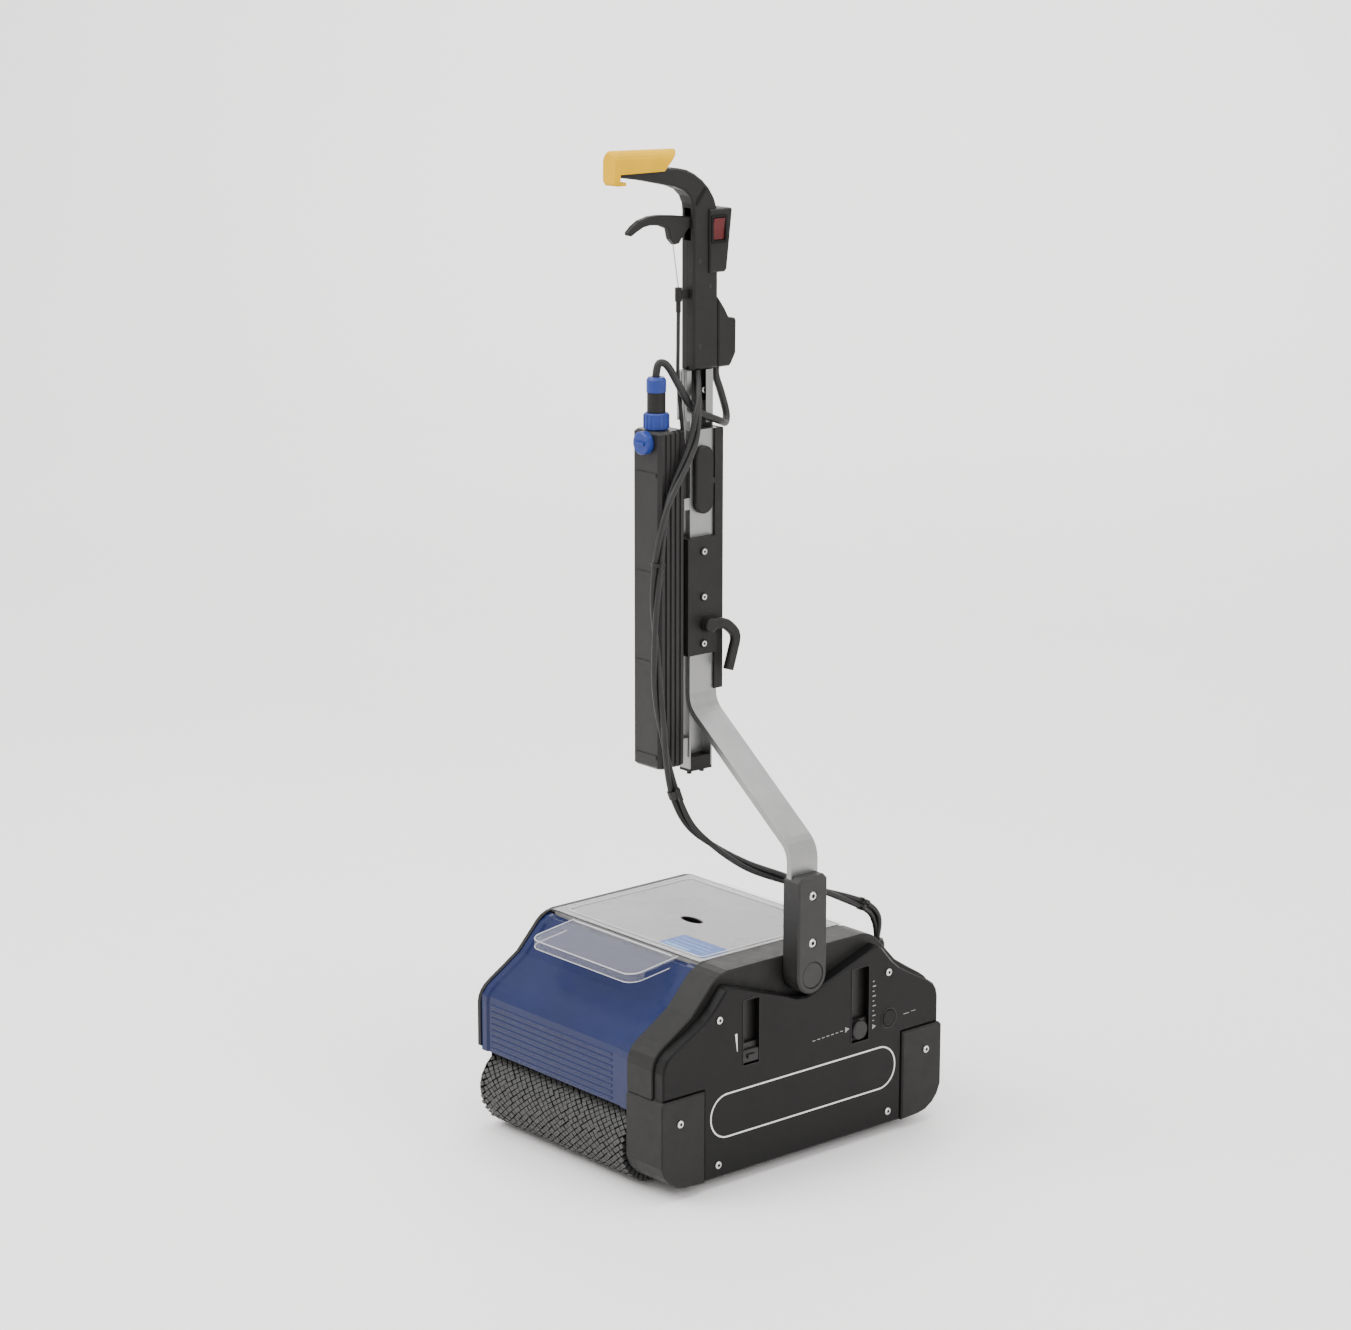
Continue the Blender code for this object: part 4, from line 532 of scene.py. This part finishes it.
for label, axis_at in BRUSH_AXIS.items():
    low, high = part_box(label + "_brush_bristles")
    random.seed(11 if label == "front" else 12)
    bm = bmesh.new()
    ends = (low[0] + SLEEVE_END, high[0] - SLEEVE_END)
    band(bm, "X", circle(axis_at, SLEEVE_R[1], SLEEVE_SIDES), circle(axis_at, SLEEVE_R[0], SLEEVE_SIDES),
         *ends)
    add_mesh(label + "_brush_sleeve", bm, "core", label + "_brush", 30.0)
    bm = bmesh.new()
    pitch = (ends[1] - ends[0]) / (TUFT_COLUMNS + 1)
    for i in range(TUFT_COLUMNS):
        splay = {0: -LEFT_SPLAY, TUFT_COLUMNS - 1: RIGHT_SPLAY}.get(i, 0.0)
        for k in range(TUFT_ROWS):
            tuft(bm, axis_at, ends[0] + (i + 1) * pitch, 2 * math.pi * (k + 0.5 * (i % 2)) / TUFT_ROWS,
                 splay * random.uniform(0.3, 1.0), pitch * TUFT_FILL)
    tufts = add_mesh(label + "_brush_tufts", bm, "bristle", label + "_brush", 30.0)
    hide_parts(label + "_brush_bristles")

# ---------------------------------------------------------------- side cover print and trims
FACE_X = 0.167                # outer face of the side cover
PRINT_THICK = 0.00025
OUTLINE_WIDTH = 0.0019
TRIM_SUNK = 0.0002            # how deep a trim piece sits in the face it covers


def cover_print(name, outlines, look):
    """Flat print on the side cover's face."""
    bm = bmesh.new()
    for outline in outlines:
        slab(bm, "X", outline, FACE_X, FACE_X + PRINT_THICK)
    return add_mesh(name, bm, look, "base", 35.0)


RING_Y = 0.150
RING_Z = (0.0595, 0.1145)
bm = bmesh.new()
outer = rounded((-RING_Y, RING_Y), RING_Z, 0.0270, 12)
band(bm, "X", outer, inset(outer, OUTLINE_WIDTH), FACE_X, FACE_X + PRINT_THICK)
add_mesh("side_outline_print", bm, "print", "base", 35.0)
cover_print("pressure_wedge_print",
            [[(-0.1118, 0.1840), (-0.1085, 0.1620), (-0.1078, 0.1620), (-0.1085, 0.1840)][::-1]], "print")
TICK_Y = 0.1105
TICK_LENGTH = 0.0025          # short ticks, and how much longer every other one is
TICK_PITCH = 0.0062
TICK_WIDTH = 0.0012
TICK_LOWEST = 0.150
ticks = [rectangle((TICK_Y, TICK_Y + TICK_LENGTH * (1 + k % 2)),
                   (TICK_LOWEST + k * TICK_PITCH, TICK_LOWEST + TICK_WIDTH + k * TICK_PITCH))
         for k in range(9)]
ticks.append([(TICK_Y, 0.1400), (0.1160, 0.1430), (TICK_Y, 0.1460)])
cover_print("flow_scale_print", ticks, "print_dim")
DASH_START = (0.012, 0.1465)
DASH_SIZE = (0.0045, 0.0010)
DASH_STEP = (0.0075, 0.0003)
legend = [rectangle((DASH_START[0] + k * DASH_STEP[0], DASH_START[0] + DASH_SIZE[0] + k * DASH_STEP[0]),
                    (DASH_START[1] + k * DASH_STEP[1], DASH_START[1] + DASH_SIZE[1] + k * DASH_STEP[1]))
          for k in range(7)]
legend.append([(0.0655, 0.1455), (0.0720, 0.1492), (0.0655, 0.1525)])
cover_print("flow_arrow_print", legend, "print_dim")
cover_print("button_mark_print", [rectangle((0.163, 0.172), (0.1470, 0.1478)),
                                  rectangle((0.176, 0.183), (0.1480, 0.1486))], "print_dim")
RIM_WIDTH = 0.0008
RIM_CORNER = 0.0022
for label, a, b in (("slot_rim_front", (-0.0998, -0.0732), (0.1412, 0.2228)),
                    ("slot_rim_rear", (0.0752, 0.1048), (0.1282, 0.2228))):
    bm = bmesh.new()
    outer = rounded(a, b, RIM_CORNER, 3)
    inner = rounded((a[0] + RIM_WIDTH, a[1] - RIM_WIDTH), (b[0] + RIM_WIDTH, b[1] - RIM_WIDTH),
                    RIM_CORNER - RIM_WIDTH, 3)
    band(bm, "X", outer, inner, FACE_X - TRIM_SUNK, FACE_X + 0.0005)
    add_mesh(label, bm, "satin", "base", 35.0)
BUTTON_AT = (0.138, 0.148)
BEZEL_R = (0.0114, 0.0128)
bm = bmesh.new()
band(bm, "X", circle(BUTTON_AT, BEZEL_R[1]), circle(BUTTON_AT, BEZEL_R[0]),
     FACE_X - TRIM_SUNK, FACE_X + 0.0006)
add_mesh("button_bezel", bm, "satin", "base", 35.0)

SLOT_BACK_X = (0.1558, 0.1566)
bm = bmesh.new()
for a, b in (((-0.1050, -0.0680), (0.1360, 0.2240)), ((0.0700, 0.1100), (0.1230, 0.2240))):
    slab(bm, "X", rounded(a, b, 0.002, 3), *SLOT_BACK_X)
add_mesh("slot_backs", bm, "satin", "base", 35.0)

# ---------------------------------------------------------------- blank label, lid and tank
lid_low, lid_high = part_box("tank_lid")
LID_TOP = lid_high[2]
LID_HALF = 0.1135             # half depth of the lid's flat panel
LABEL_THICK = 0.0003
BAND_THICK = 0.00015
bm = bmesh.new()
slab(bm, "Z", rounded((0.014, 0.098), (-0.101, -0.057), 0.004), LID_TOP, LID_TOP + LABEL_THICK)
add_mesh("blank_label", bm, "label", "base", 35.0)
bm = bmesh.new()
band_levels = (LID_TOP + LABEL_THICK, LID_TOP + LABEL_THICK + BAND_THICK)
slab(bm, "Z", rounded((0.020, 0.064), (-0.0965, -0.0900), 0.0015, 3), *band_levels)
for k in range(3):
    line = rounded((0.022, 0.090 - 0.006 * k), (-0.0865 + 0.0090 * k, -0.0845 + 0.0090 * k), 0.0007, 2)
    slab(bm, "Z", line, *band_levels)
add_mesh("blank_label_bands", bm, "label_pale", "base", 35.0)


def lid_ring(name, outline, width, height, look):
    """Raised line on the lid, a little sunk into it."""
    bm = bmesh.new()
    band(bm, "Z", outline, inset(outline, width), LID_TOP - TRIM_SUNK, LID_TOP + height)
    add_mesh(name, bm, look, "base", 35.0)


def inside_lid(margin, corner):
    """Rounded outline a margin inside the lid's flat panel, counter-clockwise."""
    return rounded((lid_low[0] + margin[0], lid_high[0] - margin[0]),
                   (-LID_HALF + margin[1], LID_HALF - margin[1]), corner, 3)


# lid_step and lid_border are raised ridges drawn in the pale edge colour: painted highlight on real ridges
lid_ring("lid_step", rounded((-0.158, 0.096), (-0.102, 0.102), 0.010), 0.0016, 0.0012, "clear_edge_highlight")
# dark ring round the lid's border: painted shadow of the gap between lid and hood, not a real part
lid_ring("lid_seam_painted_shadow", inside_lid((0.0003, 0.0), 0.002), 0.0008, 0.0003, "satin")
lid_ring("lid_border", inside_lid((0.004, 0.004), 0.004), 0.0010, 0.0004, "clear_edge_highlight")

CUP = (-0.0245, -0.0120, 0.0188, 0.0088)    # centre and half sizes of the finger cup
FILM_MARGIN = 0.0014
FILM_Z = (0.00005, 0.0002)    # above the lid's top


def around_cup(x_span, y_span, count=40):
    """Rectangle and cup outline with matching points, counted by angle from the cup's centre."""
    corners = [math.atan2(y - CUP[1], x - CUP[0]) for x in x_span for y in y_span]
    spread = [2 * math.pi * i / count for i in range(count)]
    angles = sorted({round(a % (2 * math.pi), 6) for a in corners + spread})
    outer, inner = [], []
    for a in angles:
        c, s = math.cos(a), math.sin(a)
        reach = min(((span[1] if d > 0 else span[0]) - middle) / d
                    for span, d, middle in ((x_span, c, CUP[0]), (y_span, s, CUP[1])) if abs(d) > 1e-9)
        outer.append((CUP[0] + reach * c, CUP[1] + reach * s))
        inner.append((CUP[0] + CUP[2] * c, CUP[1] + CUP[3] * s))
    return outer, inner


bm = bmesh.new()
outer, inner = around_cup((lid_low[0] + FILM_MARGIN, lid_high[0] - FILM_MARGIN),
                          (-LID_HALF + FILM_MARGIN, LID_HALF - FILM_MARGIN))
band(bm, "Z", outer, inner, LID_TOP + FILM_Z[0], LID_TOP + FILM_Z[1])
add_mesh("lid_film", bm, "frost", "base", 35.0)

LIP_X = (-0.124, 0.070)
LIP_ROOT = 0.116
LIP_STRAIGHT = 0.054          # straight part of the lip's two sides
LIP_REACH = 0.188
LIP_CORNER = 0.018
LIP_PLANE = (0.2544, 0.2440, 0.110)    # height at the root and at the edge, and where the slope starts
EDGE_IN = 0.0008
HINGE_Z = 0.2560
HINGE_SHORT = 0.006


def lip_line(inwards, lift):
    """Path round the free edge of the lip, a little inside it and above or below its plane."""
    reach, corner = LIP_REACH - inwards, LIP_CORNER - inwards
    left, right = LIP_X[0] + inwards, LIP_X[1] - inwards
    flat = [(left, LIP_ROOT + LIP_STRAIGHT * k / 3) for k in range(4)]
    flat += [(left + corner * (1 - math.cos(a)), reach - corner * (1 - math.sin(a)))
             for a in map(math.radians, (15, 30, 45, 60, 75, 90))]
    flat += [(left + right - x, y) for x, y in reversed(flat)]
    slope = (LIP_PLANE[1] - LIP_PLANE[0]) / (LIP_REACH - LIP_PLANE[2])
    return [Vector((x, -y, LIP_PLANE[0] + slope * (y - LIP_PLANE[2]) + lift)) for x, y in flat]


# thin pale tubes along the lip's top and bottom edges and its hinge line: painted highlights on the rounded
# clear edges, not real parts
bm = bmesh.new()
tube(bm, lip_line(EDGE_IN, 0.0024), 0.0007, 8)
tube(bm, lip_line(EDGE_IN, -0.0080), 0.0006, 8)
tube(bm, [Vector((x, -LIP_ROOT - 0.004, HINGE_Z))
          for x in (LIP_X[0] + HINGE_SHORT, 0.0, LIP_X[1] - HINGE_SHORT)], 0.0009, 8)
add_mesh("lip_painted_highlights", bm, "clear_edge_highlight", "base", 60.0)

TANK_FLOOR = 0.1980
BAFFLE_HALF = 0.0012
bm = bmesh.new()
# the big pale block at the lid's left front stands in for a bright reflection seen there (painted
# reflection); the two narrow frames are tank mouldings
slab(bm, "Z", rounded((-0.160, -0.088), (-0.096, 0.030), 0.012), TANK_FLOOR, 0.2440, 0.003)
slab(bm, "Z", rounded((-0.084, 0.094), (-0.100, -0.084), 0.004, 3), TANK_FLOOR, 0.2470, 0.002)
slab(bm, "Z", rounded((0.080, 0.094), (-0.080, 0.096), 0.004, 3), TANK_FLOOR, 0.2470, 0.002)
add_mesh("tank_frames_and_reflection", bm, "pale_and_reflection", "base", 35.0)
bm = bmesh.new()
for y in (-0.050, -0.010, 0.030, 0.070):
    baffle = rounded((-0.080, 0.076), (y - BAFFLE_HALF, y + BAFFLE_HALF), 0.001, 2)
    slab(bm, "Z", baffle, TANK_FLOOR, 0.2280, 0.0006)
add_mesh("tank_baffles", bm, "tray", "base", 35.0)

# ---------------------------------------------------------------- head details
HEAD_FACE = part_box("head_shell_right")[1][0]
bm = bmesh.new()
lens = [(-0.0080, 1.1270), (-0.0050, 1.1240), (0.0075, 1.1405), (0.0090, 1.1450), (0.0065, 1.1460),
        (-0.0040, 1.1350)]
slab(bm, "X", lens, HEAD_FACE - 0.0008, HEAD_FACE + 0.0007, 0.0004)
add_mesh("indicator_lens", bm, "gloss", "mast", 30.0)
SWITCH_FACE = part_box("switch_box")[1][0]
rocker_low, rocker_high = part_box("rocker_switch")


def round_rocker(margin_y, margin_z, corner):
    """Rounded outline a margin outside the rocker, counter-clockwise."""
    return rounded((rocker_low[1] - margin_y, rocker_high[1] + margin_y),
                   (rocker_low[2] - margin_z, rocker_high[2] + margin_z), corner, 3)


bm = bmesh.new()
band(bm, "X", round_rocker(0.0035, 0.004, 0.002), round_rocker(0.0007, 0.001, 0.0007),
     SWITCH_FACE - 0.0003, SWITCH_FACE + 0.0012)
add_mesh("rocker_bezel", bm, "gloss", "mast", 30.0)
bm = bmesh.new()
for spot in ((-0.001, 1.060), (-0.001, 0.960), (0.015, 1.030)):
    slab(bm, "X", circle(spot, 0.0030, 16), HEAD_FACE - 0.0006, HEAD_FACE + 0.0004, 0.0003)
add_mesh("head_screws", bm, "satin", "mast", 30.0)

# ---------------------------------------------------------------- screw recesses, drawn as painted shade
def star(centre, radius, points=6, waist=0.68):
    """Six-lobed recess outline; waist is the share of the radius between lobes."""
    outline = []
    for i in range(2 * points):
        reach, turn = radius * (1.0 if i % 2 else waist), math.pi * i / points
        outline.append((centre[0] + reach * math.cos(turn), centre[1] + reach * math.sin(turn)))
    return outline


def painted_recess_shade(name, body, spots, radius):
    """Near-black star marks on screw heads that face +X: painted shade standing in for the driver recesses.
    """
    bm = bmesh.new()
    for face, y, z in spots:
        slab(bm, "X", star((y, z), radius), face - 0.0003, face + 0.0001)
    add_mesh(name, bm, "painted_recess_shade", body, 20.0)


def screw_spots(names):
    """Outer face and centre of each named screw."""
    spots = []
    for name in names:
        low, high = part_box(name)
        spots.append((high[0], (low[1] + high[1]) / 2, (low[2] + high[2]) / 2))
    return spots


painted_recess_shade("cover_screw_recess_shades", "base", screw_spots(
    ["cover_screw_front_top", "cover_screw_rear_top", "cover_screw_front_low", "cover_screw_rear_low",
     "heel_screw_front", "heel_screw_rear"]), 0.0024)
painted_recess_shade("shoe_screw_recess_shades", "arm", screw_spots(["shoe_screw_lower", "shoe_screw_upper"]), 0.0030)
BRACKET_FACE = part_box("clamp_bracket")[1][0]
BRACKET_SCREWS = [(BRACKET_FACE, -0.0070, z) for z in (0.605, 0.662, 0.717)]
BRACKET_PROUD = 0.0003
bm = bmesh.new()
for face, y, z in BRACKET_SCREWS:
    slab(bm, "X", circle((y, z), 0.0036, 20), face - 0.0004, face + BRACKET_PROUD, 0.0002)
add_mesh("bracket_screw_faces", bm, "steel", "arm", 30.0)
painted_recess_shade("bracket_screw_recess_shades", "arm", [(face + BRACKET_PROUD, y, z) for face, y, z in BRACKET_SCREWS],
       0.0020)

# ---------------------------------------------------------------- bright rail and strip on the mast
RAIL_X = (-0.0452, -0.0274)
RAIL_Y = (-0.0190, -0.0143)
RAIL_TOP = 0.9312
GROOVE_DEPTH = 0.0012
GROOVE_HALF = (0.0004, 0.0007)    # at the bottom and at the mouth
rail = [(RAIL_X[0], RAIL_Y[1]), (RAIL_X[0], RAIL_Y[0])]
for k in range(3):
    x = RAIL_X[0] + 0.0040 + 0.0045 * k
    rail += [(x - GROOVE_HALF[1], RAIL_Y[0]), (x - GROOVE_HALF[0], RAIL_Y[0] + GROOVE_DEPTH),
             (x + GROOVE_HALF[0], RAIL_Y[0] + GROOVE_DEPTH), (x + GROOVE_HALF[1], RAIL_Y[0])]
rail += [(RAIL_X[1], RAIL_Y[0]), (RAIL_X[1], RAIL_Y[1])]
bm = bmesh.new()
slab(bm, "Z", rail, 0.8720, RAIL_TOP)
add_mesh("mast_front_rail", bm, "aluminium", "mast", 30.0)
bm = bmesh.new()
slab(bm, "X", rectangle((0.0105, 0.0215), (0.8680, RAIL_TOP)), -0.0274, -0.0267, 0.0002)
add_mesh("mast_side_strip", bm, "aluminium", "mast", 30.0)

# ---------------------------------------------------------------- battery details
batt_low, batt_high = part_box("battery_case")
bm = bmesh.new()
for z in (0.8145, 0.695, 0.587, 0.473):
    slab(bm, "Y", rectangle((batt_low[0] + 0.006, batt_high[0] - 0.006), (z - 0.0022, z + 0.0022))[::-1],
         batt_low[1] + TRIM_SUNK, batt_low[1] - 0.0009, 0.0003)
add_mesh("battery_bands", bm, "satin", "mast", 30.0)
disc_low, disc_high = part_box("battery_gauge")
bm = bmesh.new()
centre = ((disc_low[0] + disc_high[0]) / 2, (disc_low[2] + disc_high[2]) / 2)
tab = rectangle((centre[0] - 0.0078, centre[0] + 0.0078), (centre[1] - 0.0016, centre[1] + 0.0016))
slab(bm, "Y", tab[::-1], disc_low[1] + TRIM_SUNK, disc_low[1] - 0.0022, 0.0006)
add_mesh("gauge_tab", bm, "connector", "mast", 30.0)
bm = bmesh.new()
ring_low, ring_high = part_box("plug_ring")
GRIP_RING_R = 0.0146
ring_mid = ((ring_low[0] + ring_high[0]) / 2, (ring_low[1] + ring_high[1]) / 2)
for spot in circle(ring_mid, GRIP_RING_R, 16):
    slab(bm, "Z", circle(spot, 0.0010, 8), ring_low[2] + 0.002, ring_high[2] - 0.002)
add_mesh("plug_ring_grips", bm, "connector", "mast", 60.0)

# ---------------------------------------------------------------- left side plate fittings
PLATE_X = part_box("side_plate_left")[0][0]
bm = bmesh.new()
for y, z, r in ((-0.18, 0.05, 0.017), (0.18, 0.05, 0.017), (0.0, 0.053, 0.014)):
    slab(bm, "X", circle((y, z), r)[::-1], PLATE_X + 0.0020, PLATE_X + 0.0003, 0.0005)
add_mesh("left_bearing_caps", bm, "satin", "base", 30.0)
bm = bmesh.new()
for spot in ((-0.199, 0.105), (0.199, 0.105), (-0.130, 0.030), (0.130, 0.030), (-0.120, 0.215),
             (0.120, 0.215)):
    slab(bm, "X", circle(spot, 0.0045, 18)[::-1], PLATE_X + 0.0020, PLATE_X + 0.0002, 0.0004)
add_mesh("left_plate_screws", bm, "steel", "base", 30.0)

# ---------------------------------------------------------------- floor, backdrop and light
bm = bmesh.new()
STUDIO_HALF = 9.0
WALL_AT = 5.0                 # where the floor starts to curve up behind the object
COVE_R = 1.6
WALL_TOP = 7.0
profile = [(-STUDIO_HALF, 0.0), (WALL_AT, 0.0)]
profile += [(WALL_AT + COVE_R * math.sin(math.radians(a)), COVE_R - COVE_R * math.cos(math.radians(a)))
            for a in range(10, 91, 10)]
profile.append((WALL_AT + COVE_R, WALL_TOP))
rows = []
for u, z in profile:
    away = Vector((-math.sin(CAMERA_TURN), math.cos(CAMERA_TURN))) * u
    across = Vector((math.cos(CAMERA_TURN), math.sin(CAMERA_TURN)))
    rows.append([bm.verts.new((away.x + across.x * w, away.y + across.y * w, z))
                 for w in (-STUDIO_HALF, STUDIO_HALF)])
for low, high in zip(rows, rows[1:]):
    bm.faces.new((low[0], low[1], high[1], high[0]))
floor = add_mesh("studio_floor", bm, "tray", None, 60.0)
floor.data.materials.clear()
floor.data.materials.append(material("pale_floor", FLOOR, 0.6, mottle=0.012, mottle_scale=1.2, grain=0.0))

SKY = (1.0, 0.99, 0.985, 1.0)
SKY_STRENGTH = 1.42
world = bpy.data.worlds.new("studio")
world.use_nodes = True
world.node_tree.nodes["Background"].inputs["Color"].default_value = SKY
world.node_tree.nodes["Background"].inputs["Strength"].default_value = SKY_STRENGTH
bpy.context.scene.world = world


def area_light(name, at, target, size, watts):
    data = bpy.data.lights.new(name, "AREA")
    data.shape = "RECTANGLE"
    data.size, data.size_y = size
    data.energy = watts
    lamp = bpy.data.objects.new(name, data)
    lamp.location = at
    lamp.rotation_euler = (Vector(target) - Vector(at)).to_track_quat("-Z", "Y").to_euler()
    bpy.context.scene.collection.objects.link(lamp)


area_light("key", (-1.2, -2.4, 3.4), (0.0, 0.0, 0.4), (2.4, 2.4), 190.0)
area_light("fill", (3.6, 0.6, 2.2), (0.0, 0.0, 0.5), (2.0, 2.0), 75.0)
area_light("backdrop", (-3.2, 3.6, 4.2), (-4.6, 5.0, 1.0), (5.0, 2.0), 260.0)
area_light("top", (0.2, 0.6, 3.8), (0.0, 0.0, 0.0), (3.0, 3.0), 120.0)
